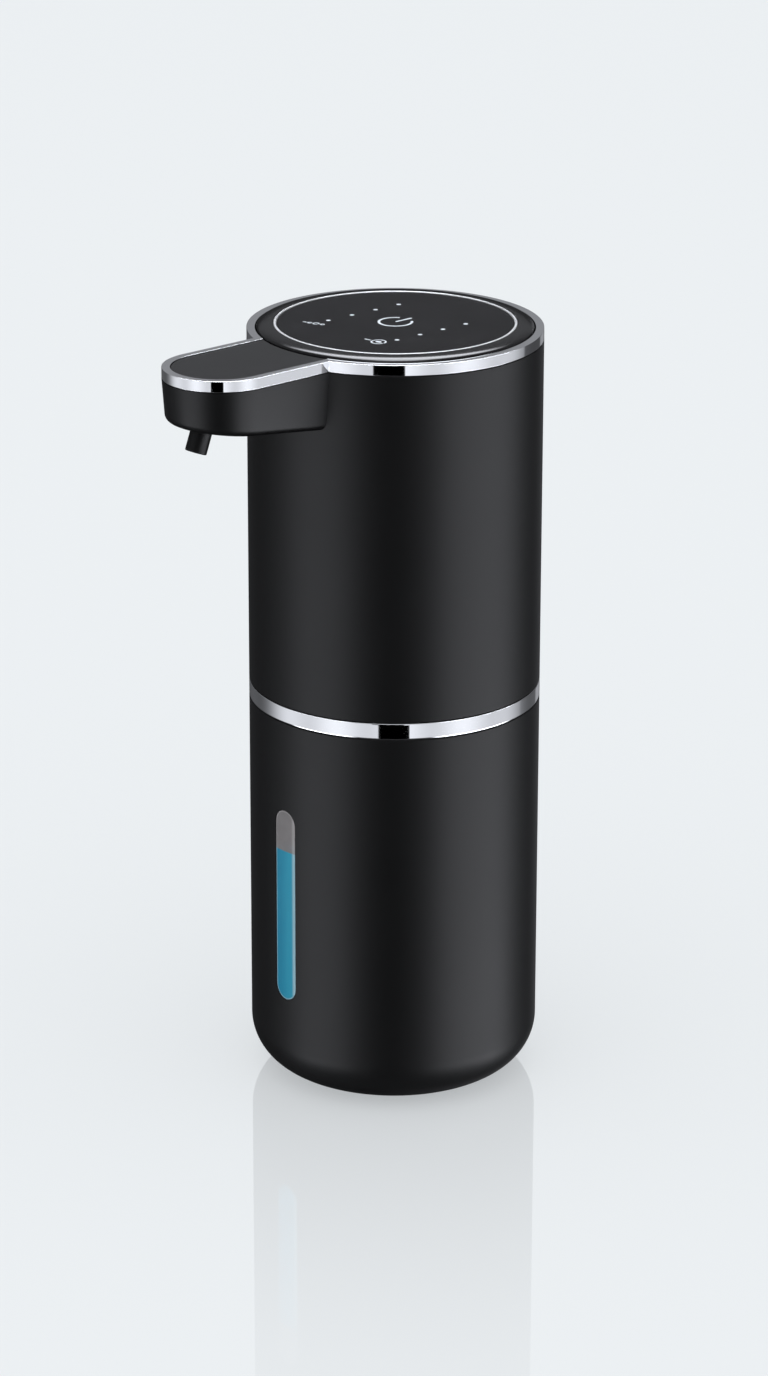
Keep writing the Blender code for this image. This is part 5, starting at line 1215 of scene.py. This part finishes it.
@dataclass
class Head:
    """The housing with its spout, the bright rim and the deck let into it."""

    wardrobe: Wardrobe
    low: float = 101.55 * MM
    high: float = 186.85 * MM
    inside: float = 33.7 * MM
    ledge: float = 31.9 * MM
    ledge_low: float = 182.0 * MM
    ledge_high: float = 183.7 * MM
    slope: float = 0.127
    root_z: float = 172.5 * MM
    root_y: float = 32.75 * MM
    draft: float = 1.62 * MM
    draft_low: float = 164 * MM
    edge_round: float = 1.8 * MM
    inner_half: float = 11.9 * MM
    nozzle_y: float = -59.7 * MM
    nozzle_hole: float = 2.8 * MM
    sensor_y: float = -46.225 * MM
    sensor_hole: float = 3.15 * MM
    boss_circle: float = 30.1 * MM
    boss_angles: tuple[float, ...] = (0.0, math.pi, math.pi * 4 / 3)
    boss_low: float = 113.8 * MM
    boss_high: float = 122.8 * MM
    boss_half: float = 2.5 * MM
    pilot: float = 1.05 * MM
    pilot_high: float = 116.8 * MM
    port_z: float = 125.5 * MM
    port_face: float = 29.8 * MM
    pocket_half: Point = (7.7 * MM, 4.5 * MM)
    flap_half: Point = (7.4 * MM, 4.2 * MM)
    rim_width: float = 2.05 * MM
    rim_edge: float = 0.1 * MM
    rim_gap: float = 0.02 * MM
    deck_high: float = 189.4 * MM
    deck_under: float = 187.8 * MM
    deck_low: float = 185.0 * MM
    deck_half: float = 11.5 * MM
    deck_root: float = 33.45 * MM
    deck_start: float = 28 * MM
    skirt_step: float = 0.3 * MM
    skirt_wall: float = 1.2 * MM

    def build(self) -> None:
        """Make the pieces of the head's outside."""
        self.housing()
        self.rim()
        self.deck()
        self.port_flap()

    @property
    def middle(self) -> float:
        """Radius of the middle of the barrel's wall."""
        return BODY_RADIUS - WALL / 2

    @property
    def port_level(self) -> Matrix:
        """The back plane at the height of the inlet."""
        return Matrix.Translation((0, 0, self.port_z)) @ BACK

    def underside(self, y: float) -> float:
        """Height of the spout's underside at a place along Y."""
        return self.root_z + self.slope * (-y - self.root_y)

    def spout(self, name: str, half: float, root: float, lift: float, edge: float,
              top: float) -> bpy.types.Object:
        """Shape the spout: extruded plan, drafted, cut to its sloping underside and rounded there.

        Args:
            name: Name of the solid.
            half: Half its width at the rim.
            root: How near the axis it starts.
            lift: Height above the outer underside.
            edge: Radius of the lower edge.
            top: Height of its upper face.

        Returns:
            The solid.
        """
        form = slab(name, spout_plan(half, root), self.draft_low, top)
        share = 1 - self.draft / half
        centre = Vector((0, -SPOUT_CENTRE, self.draft_low))
        with editing(form):
            pick(form, Kind.VERT, lambda v: v.co.z < self.draft_low + MM)
            bpy.ops.transform.resize(value=(share, share, 1), center_override=centre)
            bpy.ops.mesh.select_mode(type="FACE")
            bpy.ops.mesh.select_all(action="SELECT")
            bpy.ops.mesh.bisect(plane_co=(0, 0, self.underside(0) + lift),
                                plane_no=(0, self.slope, 1), use_fill=True, clear_inner=True)

            def on_floor(edge_part: bmesh.types.BMEdge) -> bool:
                """Say whether an edge runs along the rim of the underside, clear of the root.

                Args:
                    edge_part: The edge.

                Returns:
                    Whether both its ends lie on the underside and it isn't at the root.
                """
                ends = [v.co for v in edge_part.verts]
                low = all(abs(v.z - self.underside(v.y) - lift) < 0.02 * MM for v in ends)
                return low and not all(v.y > -root - 3 * MM for v in ends)
            pick(form, Kind.EDGE, on_floor)
            bpy.ops.mesh.bevel(offset=edge, segments=7, affect="EDGES")
            bpy.ops.mesh.select_all(action="SELECT")
            bpy.ops.mesh.remove_doubles(threshold=MERGE)
            bpy.ops.mesh.normals_make_consistent(inside=False)
        return form

    def housing(self) -> None:
        """Turn the barrel, join the spout, hollow it and add what is inside."""
        corners: list[Corner] = [
            (self.inside, self.low, 0.15 * MM), (BODY_RADIUS, self.low, 0.28 * MM),
            (BODY_RADIUS, 112 * MM, 0), (BODY_RADIUS, 140 * MM, 0), (BODY_RADIUS, 170.5 * MM, 0),
            (BODY_RADIUS, self.high, 0.15 * MM), (self.inside, self.high, 0.15 * MM),
            (self.inside, self.ledge_high, 0), (self.ledge, self.ledge_high, 0.2 * MM),
            (self.ledge, self.ledge_low, 0.2 * MM), (self.inside, 180.2 * MM, 0),
            (self.inside, 140 * MM, 0),
        ]
        housing = lathe("dressed_upper_housing", round_corners(corners, steps=5), True)
        spout = self.spout("spout_outside", SPOUT_HALF, 24 * MM, 0, self.edge_round, self.high)
        root = lathe("spout_root", post(self.middle, 150 * MM, 200 * MM))
        carve(spout, Carve.TAKE, root)
        carve(housing, Carve.ADD, spout)
        hollow = self.spout("spout_inside", self.inner_half, 29 * MM, WALL, 0.9 * MM,
                            self.high + 4 * MM)
        carve(housing, Carve.TAKE, hollow)
        self.open_spout(housing)
        self.bosses(housing)
        self.port(housing)
        smooth(housing)
        self.wardrobe.hang(housing, "satin_black", "head", "upper_housing")

    def nozzle_place(self) -> Matrix:
        """Where the tilted nozzle stands: its Z runs up along the tube."""
        foot = (0, self.nozzle_y, self.underside(self.nozzle_y))
        return Matrix.Translation(foot) @ Matrix.Rotation(-NOZZLE_TILT, 4, "X")

    def sensor_place(self) -> Matrix:
        """Where the sensor's window lies: its Z points up into the spout."""
        foot = (0, self.sensor_y, self.underside(self.sensor_y))
        return Matrix.Translation(foot) @ Matrix.Rotation(-math.atan(self.slope), 4, "X")

    def open_spout(self, housing: bpy.types.Object) -> None:
        """Bore the holes of the nozzle and the sensor in the spout's floor.

        Args:
            housing: The housing that is bored.
        """
        holes = (("nozzle_hole", post(self.nozzle_hole, -3.8 * MM, 5.6 * MM), self.nozzle_place()),
                 ("sensor_hole", post(self.sensor_hole, -2 * MM, 3.8 * MM), self.sensor_place()))
        for name, profile, place in holes:
            carve(housing, Carve.TAKE, lathe(name, profile, steps=64, place=place))

    def bosses(self, housing: bpy.types.Object) -> None:
        """Add the three bosses that take the screws of the deck.

        Args:
            housing: The housing that carries them.
        """
        low, high = self.boss_low, self.boss_high
        run = (self.middle - self.boss_circle) / 2
        for number, angle in enumerate(self.boss_angles, 1):
            turned = Matrix.Rotation(angle, 4, "Z")
            outline = shifted(flat_slot(run + self.boss_half, self.boss_half),
                              self.boss_circle + run, 0)
            boss = slab(f"boss_{number}", outline, low, high, turned)
            carve(boss, Carve.KEEP, lathe("boss_limit", post(self.middle, low - MM, high + MM)))
            carve(housing, Carve.ADD, boss)
            place = turned @ Matrix.Translation((self.boss_circle, 0, 0))
            pilot = post(self.pilot, low - 2 * MM, self.pilot_high)
            carve(housing, Carve.TAKE, lathe("boss_pilot", pilot, steps=32, place=place))

    def port(self, housing: bpy.types.Object) -> None:
        """Add the pad round the inlet, the flap's pocket and the opening of the socket.

        Args:
            housing: The housing that carries them.
        """
        pad = slab("port_pad", tablet((10 * MM, 6.5 * MM)), self.port_face, BODY_RADIUS,
                   self.port_level)
        carve(pad, Carve.KEEP, lathe("pad_limit", post(self.middle, 110 * MM, 140 * MM)))
        carve(housing, Carve.ADD, pad)
        pocket = slab("flap_pocket", tablet(self.pocket_half, 2.3 * MM), 20 * MM, 38 * MM,
                      self.port_level)
        depth = hoop(34.0 * MM, 37.5 * MM, 110 * MM, 140 * MM)
        carve(pocket, Carve.KEEP, lathe("pocket_depth", depth, True))
        mouth = slab("socket_mouth", flat_slot(4.77 * MM, 1.93 * MM), 27.8 * MM, 37.5 * MM,
                     self.port_level)
        carve(housing, Carve.TAKE, pocket, mouth)

    def rim(self) -> None:
        """Cut the bright rim from two teardrops."""
        outer = teardrop(BODY_RADIUS - self.rim_gap, SPOUT_HALF - self.rim_gap)
        inner = teardrop(BODY_RADIUS - self.rim_width, SPOUT_HALF - self.rim_width)
        rim = slab("dressed_top_trim_ring", outer, RIM_LOW, RIM_HIGH)
        carve(rim, Carve.TAKE, slab("rim_hole", inner, RIM_LOW - MM, RIM_HIGH + MM))
        soften(rim, self.rim_edge)
        self.wardrobe.hang(rim, "bright_chrome", "head", "top_trim_ring")

    def deck(self) -> None:
        """Shape the dark deck: a shallow tray turned over, with its skirt inside the rim."""
        half, under, start = self.deck_half, self.deck_under, self.deck_start
        deck = slab("dressed_spout_cover", spout_plan(half, start), under, self.deck_high)
        outer = spout_plan(half - self.skirt_step, start)
        inner = spout_plan(half - self.skirt_step - self.skirt_wall, start)
        skirt = slab("skirt", outer, self.deck_low, under + 0.4 * MM)
        room = slab("skirt_room", inner, self.deck_low - MM, under)
        carve(deck, Carve.ADD, skirt)
        carve(deck, Carve.TAKE, room)
        carve(deck, Carve.TAKE, lathe("deck_root", post(self.deck_root, 180 * MM, 195 * MM)))
        soften(deck, 0.25 * MM, 50)
        self.wardrobe.hang(deck, "deck_black", "head", "spout_cover")

    def port_flap(self) -> None:
        """Shape the soft flap of the inlet, with its plug and a scoop for the finger."""
        flap = slab("dressed_port_cover", tablet(self.flap_half, 2.0 * MM), 30 * MM, 37 * MM,
                    self.port_level)
        curve = hoop(34.3 * MM, 35.45 * MM, 115 * MM, 135 * MM)
        carve(flap, Carve.KEEP, lathe("flap_curve", curve, True))
        plug = slab("plug", flat_slot(4.2 * MM, 1.35 * MM), 33.5 * MM, 34.6 * MM, self.port_level)
        carve(flap, Carve.ADD, plug)
        outline = shifted(flat_slot(2.8 * MM, 0.9 * MM), 0, self.flap_half[1])
        carve(flap, Carve.TAKE, slab("scoop", outline, 34.9 * MM, 37 * MM, self.port_level))
        soften(flap, 0.16 * MM, 50)
        self.wardrobe.hang(flap, "silicone_black", "flap", "port_cover")


@dataclass
class Crown:
    """The round top: glossy shoulder, thin bright ring, touch panel and its light marks."""

    wardrobe: Wardrobe
    shoulder_centre: Point = (29.25 * MM, 189.5 * MM)
    shoulder_radii: Point = (3.9 * MM, 1.1 * MM)
    panel_radius: float = 28.25 * MM
    panel_low: float = 189.0 * MM
    stroke: float = 0.62 * MM
    lift: float = 0.005 * MM
    film: float = 0.02 * MM
    sign_radius: float = 3.95 * MM
    sign_gap: float = math.radians(33)
    light_radius: float = 0.56 * MM
    light_rows: tuple[tuple[str, float, float, float], ...] = (
        ("left", -11.5 * MM, 0.1 * MM, 7.5 * MM), ("right", 12.5 * MM, 0.3 * MM, 7.3 * MM))
    drop_centre: Point = (10.9 * MM, -15.0 * MM)
    foam_centre: Point = (-11.6, -15.4)
    bubbles: tuple[Corner, ...] = ((-1.2, -0.5, 0.6), (0.35, 0.15, 0.85), (1.95, 0.75, 0.6))

    def build(self) -> None:
        """Make the pieces of the top."""
        centre, start = self.shoulder_centre, self.shoulder_centre[1]
        corners: list[Corner] = [
            (33.15 * MM, 184.0 * MM, 0.2 * MM), (33.15 * MM, start - 0.3 * MM, 0)]
        corners += sharp(arc(centre, self.shoulder_radii, 0, math.pi / 2, 20))
        corners += in_mm((29.25, 188.85, 0), (24.05, 188.85, 0.2), (24.05, 187.25, 0.2),
                         (31.35, 187.25, 0.3), (31.35, 184.0, 0.2))
        bezel = lathe("dressed_panel_bezel", round_corners(corners, steps=4), True)
        smooth(bezel)
        self.wardrobe.hang(bezel, "gloss_black", "head", "panel_bezel")
        ring = lathe("dressed_accent_ring", round_corners(in_mm(
            (28.4, 189.0, 0), (29.1, 189.0, 0), (29.1, 190.6, 0.2), (28.4, 190.6, 0.2)), steps=5),
            True)
        smooth(ring)
        self.wardrobe.hang(ring, "silver_line", "head", "accent_ring", slot="bright_chrome")
        panel = lathe("dressed_touch_panel", round_corners([
            (0, self.panel_low, 0), (self.panel_radius, self.panel_low, 0.1 * MM),
            (self.panel_radius, PANEL_HIGH, 0.22 * MM), (0, PANEL_HIGH, 0),
        ], closed=False, steps=5))
        smooth(panel)
        self.wardrobe.hang(panel, "panel_glass", "head", "touch_panel")
        self.marks()

    def mark(self, name: str, outline: Sequence[Point]) -> bpy.types.Object:
        """One thin mark on the panel."""
        low = PANEL_HIGH + self.lift
        return slab(name, outline, low, low + self.film)

    def marks(self) -> None:
        """Lay out the power sign, the eight lights and two plain signs."""
        half, quarter = self.stroke / 2, math.pi / 2
        outer_radius, inner_radius = self.sign_radius + half, self.sign_radius - half
        start, end = quarter + self.sign_gap, quarter + TURN - self.sign_gap
        outer = arc((0, 0), (outer_radius, outer_radius), start, end, 72)
        inner = arc((0, 0), (inner_radius, inner_radius), end, start, 72)
        low, high, corner = 0.1 * MM, 5.2 * MM, half * 0.98
        bar = round_corners([(-half, low, corner), (half, low, corner),
                             (half, high, corner), (-half, high, corner)], steps=5)
        made = [self.mark("power_ring", outer + inner), self.mark("power_bar", bar)]
        radii = (self.light_radius, self.light_radius)
        for side, x, middle_y, pitch in self.light_rows:
            for row in range(4):
                y = middle_y + (row - 1.5) * pitch
                light = arc((x, y), radii, 0, TURN * 23 / 24, 23)
                made.append(self.mark(f"light_{side}_{row + 1}", light))
        made += self.drop_sign() + self.foam_sign()
        for piece in made:
            self.wardrobe.hang(piece, "light_mark", "head")

    def drop_sign(self) -> list[bpy.types.Object]:
        """Draw a plain drop in a ring with a short stroke beside it, for the amount.

        Returns:
            The marks.
        """
        x, y = self.drop_centre
        outer = arc((x, y), (1.9 * MM, 1.9 * MM), 0.1, TURN - 0.1, 36)
        inner = arc((x, y), (1.52 * MM, 1.52 * MM), TURN - 0.1, 0.1, 36)
        stroke = [(x - 4.1 * MM, y - 0.5 * MM), (x - 2.3 * MM, y - 0.2 * MM),
                  (x - 2.3 * MM, y - 0.6 * MM), (x - 4.0 * MM, y - 0.95 * MM)]
        drop = arc((x, y), (0.85 * MM, 0.6 * MM), 0, TURN * 19 / 20, 19)
        return [self.mark("drop_ring", outer + inner), self.mark("drop_sign", drop),
                self.mark("drop_stroke", stroke)]

    def foam_sign(self) -> list[bpy.types.Object]:
        """Draw three small bubbles in a row with a tick before them, for foam or liquid.

        Returns:
            The marks.
        """
        signs = []
        for number, (dx, dy, radius) in enumerate(self.bubbles, 1):
            centre = ((self.foam_centre[0] + dx) * MM, (self.foam_centre[1] + dy) * MM)
            outer = arc(centre, (radius * MM, radius * MM), 0.25, TURN - 0.25, 22)
            within = (radius - 0.36) * MM
            inner = arc(centre, (within, within), TURN - 0.25, 0.25, 22)
            signs.append(self.mark(f"bubble_{number}", outer + inner))
        x, y = -14.6 * MM, -16.6 * MM
        tick = [(x, y), (x + 0.9 * MM, y + 0.2 * MM), (x + 1.0 * MM, y + 0.6 * MM),
                (x - 0.1 * MM, y + 0.4 * MM)]
        return [*signs, self.mark("foam_tick", tick)]


@dataclass
class Outlet:
    """What hangs from the spout: the tilted nozzle and the dark window of the hand sensor."""

    wardrobe: Wardrobe
    head: Head
    radius: float = 2.3 * MM
    outside: float = 2.58 * MM
    bore: float = 1.5 * MM
    below: float = 6.1 * MM
    flange: float = 3.6 * MM
    flange_rise: float = 2.1 * MM
    hose_high: float = 180.8 * MM
    barb_bore: float = 0.9 * MM
    barb_radius: float = 1.6 * MM
    barb_reach: float = 4.1 * MM
    lens_radius: float = 3.0 * MM

    def build(self) -> None:
        """Make the nozzle and the sensor's window."""
        place = self.head.nozzle_place()
        base = place.translation
        rise = self.hose_high - base.z
        elbow = rise / math.cos(NOZZLE_TILT)
        elbow_y = base.y + rise * math.tan(NOZZLE_TILT)
        flange_low = self.flange_rise + 1.8 * MM * math.sin(NOZZLE_TILT)
        flange_high = flange_low + MM
        top = elbow + self.radius
        nozzle = lathe("dressed_nozzle", round_corners([
            (self.bore, -self.below, 0.1 * MM), (self.outside, -self.below, 0.3 * MM),
            (self.outside, -self.below + 1.1 * MM, 0), (self.outside, flange_low, 0.1 * MM),
            (self.flange, flange_low, 0.2 * MM), (self.flange, flange_high, 0.2 * MM),
            (self.radius, flange_high, 0.2 * MM), (self.radius, top, 1.1 * MM), (0, top, 0),
            (0, elbow + 0.9 * MM, 0), (self.bore, elbow + 0.4 * MM, 0),
        ], steps=5), True, 96, place)
        back = elbow_y + self.radius * (1 / math.cos(NOZZLE_TILT) + math.tan(NOZZLE_TILT))
        tip = back + self.barb_reach
        barb = [(self.barb_bore, elbow_y + 1.2 * MM), (self.barb_radius, elbow_y + 1.2 * MM),
                (self.barb_radius, tip), (1.35 * MM, tip + 0.3 * MM),
                (self.barb_bore, tip + 0.3 * MM)]
        level = Matrix.Translation((0, 0, self.hose_high)) @ BACK
        carve(nozzle, Carve.ADD, lathe("nozzle_barb", barb, True, 48, level))
        smooth(nozzle)
        self.wardrobe.hang(nozzle, "satin_black", "head", "nozzle", slot="gloss_black")
        lens = lathe("dressed_ir_window", round_corners([
            (0, 0.02 * MM, 0), (self.lens_radius, 0.02 * MM, 0.2 * MM),
            (self.lens_radius, 0.9 * MM, 0.15 * MM), (0, 0.9 * MM, 0),
        ], closed=False, steps=4), steps=96, place=self.head.sensor_place())
        smooth(lens)
        self.wardrobe.hang(lens, "gloss_black", "head", "ir_window")


@dataclass
class Suction:
    """The dip tube and its strainer, which hang from the head into the bottle."""

    wardrobe: Wardrobe
    x: float = 5.4 * MM
    y: float = -3.7953 * MM
    slots: int = 6
    slot_half: float = 0.55 * MM
    slot_low: float = 5.3 * MM
    slot_high: float = 7.0 * MM

    def build(self) -> None:
        """Make the tube and the strainer."""
        place = Matrix.Translation((self.x, self.y, 0))
        tube = lathe("dressed_suction_tube", round_corners(in_mm(
            (2.0, 8.15, 0.15), (3.0, 8.15, 0.25), (3.0, 60, 0),
            (3.0, 109.43, 0.25), (2.0, 109.43, 0.15)), steps=4), True, 72, place)
        smooth(tube)
        self.wardrobe.hang(tube, "silicone_clear", "head", "suction_tube")
        strainer = lathe("dressed_tube_strainer", round_corners(in_mm(
            (0, 4.0, 0), (4.22, 4.0, 0.5), (4.22, 14.0, 0.35), (3.12, 14.0, 0.2),
            (3.12, 8.0, 0), (2.0, 8.0, 0), (2.0, 5.0, 0), (0, 5.0, 0)),
            closed=False, steps=4), steps=96, place=place)
        outline = [(MM, -self.slot_half), (6 * MM, -self.slot_half),
                   (6 * MM, self.slot_half), (MM, self.slot_half)]
        for number in range(self.slots):
            turned = place @ Matrix.Rotation(TURN * (number + 0.5) / self.slots, 4, "Z")
            slot = slab("strainer_slot", outline, self.slot_low, self.slot_high, turned)
            carve(strainer, Carve.TAKE, slot)
        smooth(strainer)
        self.wardrobe.hang(strainer, "nylon_white", "head", "tube_strainer")


# Studio

@dataclass
class Studio:
    """Camera, floor, soft light and what bright surfaces mirror."""

    place: tuple[float, float, float] = (0.793242, -0.709240, 0.475719)
    ahead: tuple[float, float, float] = (-0.70402, 0.62645, -0.33455)
    right: tuple[float, float, float] = (0.66427, 0.74749, 0.00179)
    lens: float = 120.67
    film_width: float = 36
    floor_width: float = 24
    floor_colour: Colour = (0.83, 0.862, 0.885)
    floor_glow: float = 0.62
    tint: Colour = (1.0, 1.02, 1.08)
    lamp_place: tuple[float, float, float] = (0.25, -0.3, 1.5)
    lamp_aim: tuple[float, float, float] = (-0.25, 0.3, -1.4)
    lamp_width: float = 1.2
    lamp_watts: float = 1.6

    def build(self) -> None:
        """Set up camera, floor, world and lamps."""
        self.camera()
        self.floor()
        self.world()
        self.lamps()

    def camera(self) -> None:
        """Stand the camera where the photograph was taken from."""
        data = bpy.data.cameras.new("camera")
        data.lens = self.lens
        data.sensor_width = self.film_width
        data.clip_end = 50
        camera = bpy.data.objects.new("camera", data)
        ahead, right = Vector(self.ahead).normalized(), Vector(self.right).normalized()
        axes = Matrix((right, right.cross(ahead), -ahead)).transposed()
        camera.matrix_world = Matrix.Translation(self.place) @ axes.to_4x4()
        bpy.context.scene.collection.objects.link(camera)
        bpy.context.scene.camera = camera

    def floor(self) -> None:
        """A wide pale floor that mirrors the foot faintly and fades with distance."""
        bpy.ops.object.select_all(action="DESELECT")
        bpy.ops.mesh.primitive_plane_add(size=self.floor_width)
        floor = bpy.context.object
        floor.name = "floor"
        material, graph = new_graph("floor_sheet")
        colour = (*self.floor_colour, 1)
        reach = graph.add("ShaderNodeVectorMath", {"operation": "LENGTH"}, {0: graph.place()},
                          output="Value")
        share = 0.05 + 0.14 * (1 - reach.rise(0.0, 0.2))
        sheet = graph.add("ShaderNodeBsdfDiffuse", inputs={"Color": colour})
        glow = graph.add("ShaderNodeEmission", inputs={"Color": colour, "Strength": 1.0})
        seen = graph.add("ShaderNodeLightPath", output="Is Camera Ray") * self.floor_glow
        pale = graph.add("ShaderNodeMixShader", inputs={0: seen, 1: sheet, 2: glow})
        mirror = graph.add("ShaderNodeBsdfGlossy",
                           inputs={"Color": (1, 1, 1, 1), "Roughness": 0.0})
        upper = graph.add("ShaderNodeMixShader", inputs={0: share, 1: pale, 2: mirror})
        below = graph.add("ShaderNodeNewGeometry", output="Backfacing")
        clear = graph.add("ShaderNodeBsdfTransparent")
        graph.finish(graph.add("ShaderNodeMixShader", inputs={0: below, 1: upper, 2: clear}))
        floor.data.materials.append(material)
        floor.visible_glossy = False

    @staticmethod
    def mirrored(turn: Term, tilt: Term) -> Term:
        """Say how bright each direction looks in a glossy surface.

        Args:
            turn: Angle round the vertical from the camera's side, to the right.
            tilt: Angle above the horizon.

        Returns:
            The brightness.
        """
        rad = math.radians
        away, left = turn.size(), 0 - turn
        upper = tilt.rise(rad(-18.4), rad(-17.6))
        high = tilt.rise(rad(11), rad(14))
        # The bright rings mirror one band under the horizon, which fades towards the back.
        band = tilt.between(rad(-22.5), rad(-12.5), rad(1.5))
        level = band * (1 - 0.9 * away.rise(rad(72), rad(138)))
        step = turn.rise(rad(117), rad(121)) * (0.3 + 0.5 * upper)
        level = level * (1 - step - 0.5 * left.rise(rad(105), rad(135)))
        sway = 0.8 + 0.14 * turn.maths("SINE", turn * 7.0 + 1.0)
        # A black card in front gives each ring its dark mark.
        centre = rad(-0.3) - rad(4.4) * upper
        card = (turn - centre).between(rad(-12), rad(12), rad(0.4))
        card = card * tilt.between(rad(-50), rad(-4), rad(0.5))
        # Flat tops mirror the quiet part above the horizon.
        beside = 1 - tilt.between(rad(-40), rad(-9), rad(5))
        quiet = 0.05 + 0.13 * beside * (1 - away.rise(rad(110), rad(140))) + 0.21 * high
        back = turn.between(rad(154), rad(166), rad(5)) * (1 - high) * 0.22
        # Satin walls mirror two strips beside the band, and the shoulder's front one above.
        gap = 1 - tilt.between(rad(-23), rad(-12.5), rad(1))
        right_strip = turn.between(rad(42), rad(97), rad(13))
        left_strip = left.between(rad(42), rad(80), rad(13))
        strips = (right_strip + left_strip) * tilt.between(rad(-36), rad(-5), rad(7)) * gap
        strips = strips * (4.2 + 1.9 * turn.rise(rad(-20), rad(20)))
        over = away.rise(rad(138), rad(165)) * tilt.between(rad(44), rad(78), rad(7)) * 12.0
        ahead = (1 - away.rise(rad(35), rad(55))) * tilt.between(rad(50), rad(80), rad(8)) * 1.5
        return (quiet + level * sway) * (1 - card) + back + strips + over + ahead

    def world(self) -> None:
        """A white tent, and for glossy surfaces a studio of strips, a card and a dark back."""
        world = bpy.data.worlds.new("studio")
        bpy.context.scene.world = world
        world.use_nodes = True
        graph = Graph(world.node_tree)
        direction = graph.add("ShaderNodeTexCoord", output="Generated")
        flat = Vector((self.place[0], self.place[1], 0)).normalized()

        def along(vector: Vector) -> Term:
            """How far the direction points along a vector."""
            return graph.add("ShaderNodeVectorMath", {"operation": "DOT_PRODUCT"},
                             {0: direction, 1: vector}, output="Value")
        front, side = along(flat), along(Vector((-flat.y, flat.x, 0)))
        turn = front.maths("ARCTAN2", side, front)
        tilt = front.maths("ARCSINE", graph.axis(direction, "Z"))
        bright = self.mirrored(turn, tilt)
        grey = graph.add("ShaderNodeCombineColor", inputs={
            channel: bright * share for channel, share in enumerate(self.tint)})
        tent = 1 + 0.5 * front
        soft = graph.add("ShaderNodeCombineColor", inputs={0: tent, 1: tent, 2: tent})
        camera, any_glossy, singular = (
            graph.add("ShaderNodeLightPath", output=name)
            for name in ("Is Camera Ray", "Is Glossy Ray", "Is Singular Ray"))
        glossy = any_glossy * (1 - singular)
        seen = camera.maths("MAXIMUM", camera, singular)
        colour = graph.blend(seen, graph.blend(glossy, soft, grey), self.floor_colour)
        graph.finish(graph.add("ShaderNodeBackground", inputs={"Color": colour, "Strength": 1.0}),
                     "ShaderNodeOutputWorld")

    def lamps(self) -> None:
        """One large soft lamp above, which gives the pieces a gentle top side."""
        data = bpy.data.lights.new("overhead", "AREA")
        data.size, data.energy = self.lamp_width, self.lamp_watts
        lamp = bpy.data.objects.new("overhead", data)
        lamp.location = self.lamp_place
        lamp.rotation_euler = Vector(self.lamp_aim).to_track_quat("-Z", "Y").to_euler()
        lamp.visible_glossy = False
        bpy.context.scene.collection.objects.link(lamp)


def main() -> None:
    """Load the frame, build every sub-assembly and dress the frame's nodes."""
    logging.basicConfig(level=logging.INFO, format="%(name)s: %(message)s")
    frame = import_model()
    scene = bpy.context.scene
    scene.view_settings.view_transform = "Standard"
    wardrobe = Wardrobe()
    Studio().build()
    head = Head(wardrobe)
    for part in (Bottle(wardrobe), Joint(wardrobe), head, Crown(wardrobe),
                 Outlet(wardrobe, head), Suction(wardrobe)):
        part.build()
    wardrobe.dress_nodes(frame["nodes"])


if __name__ == "__main__":
    main()
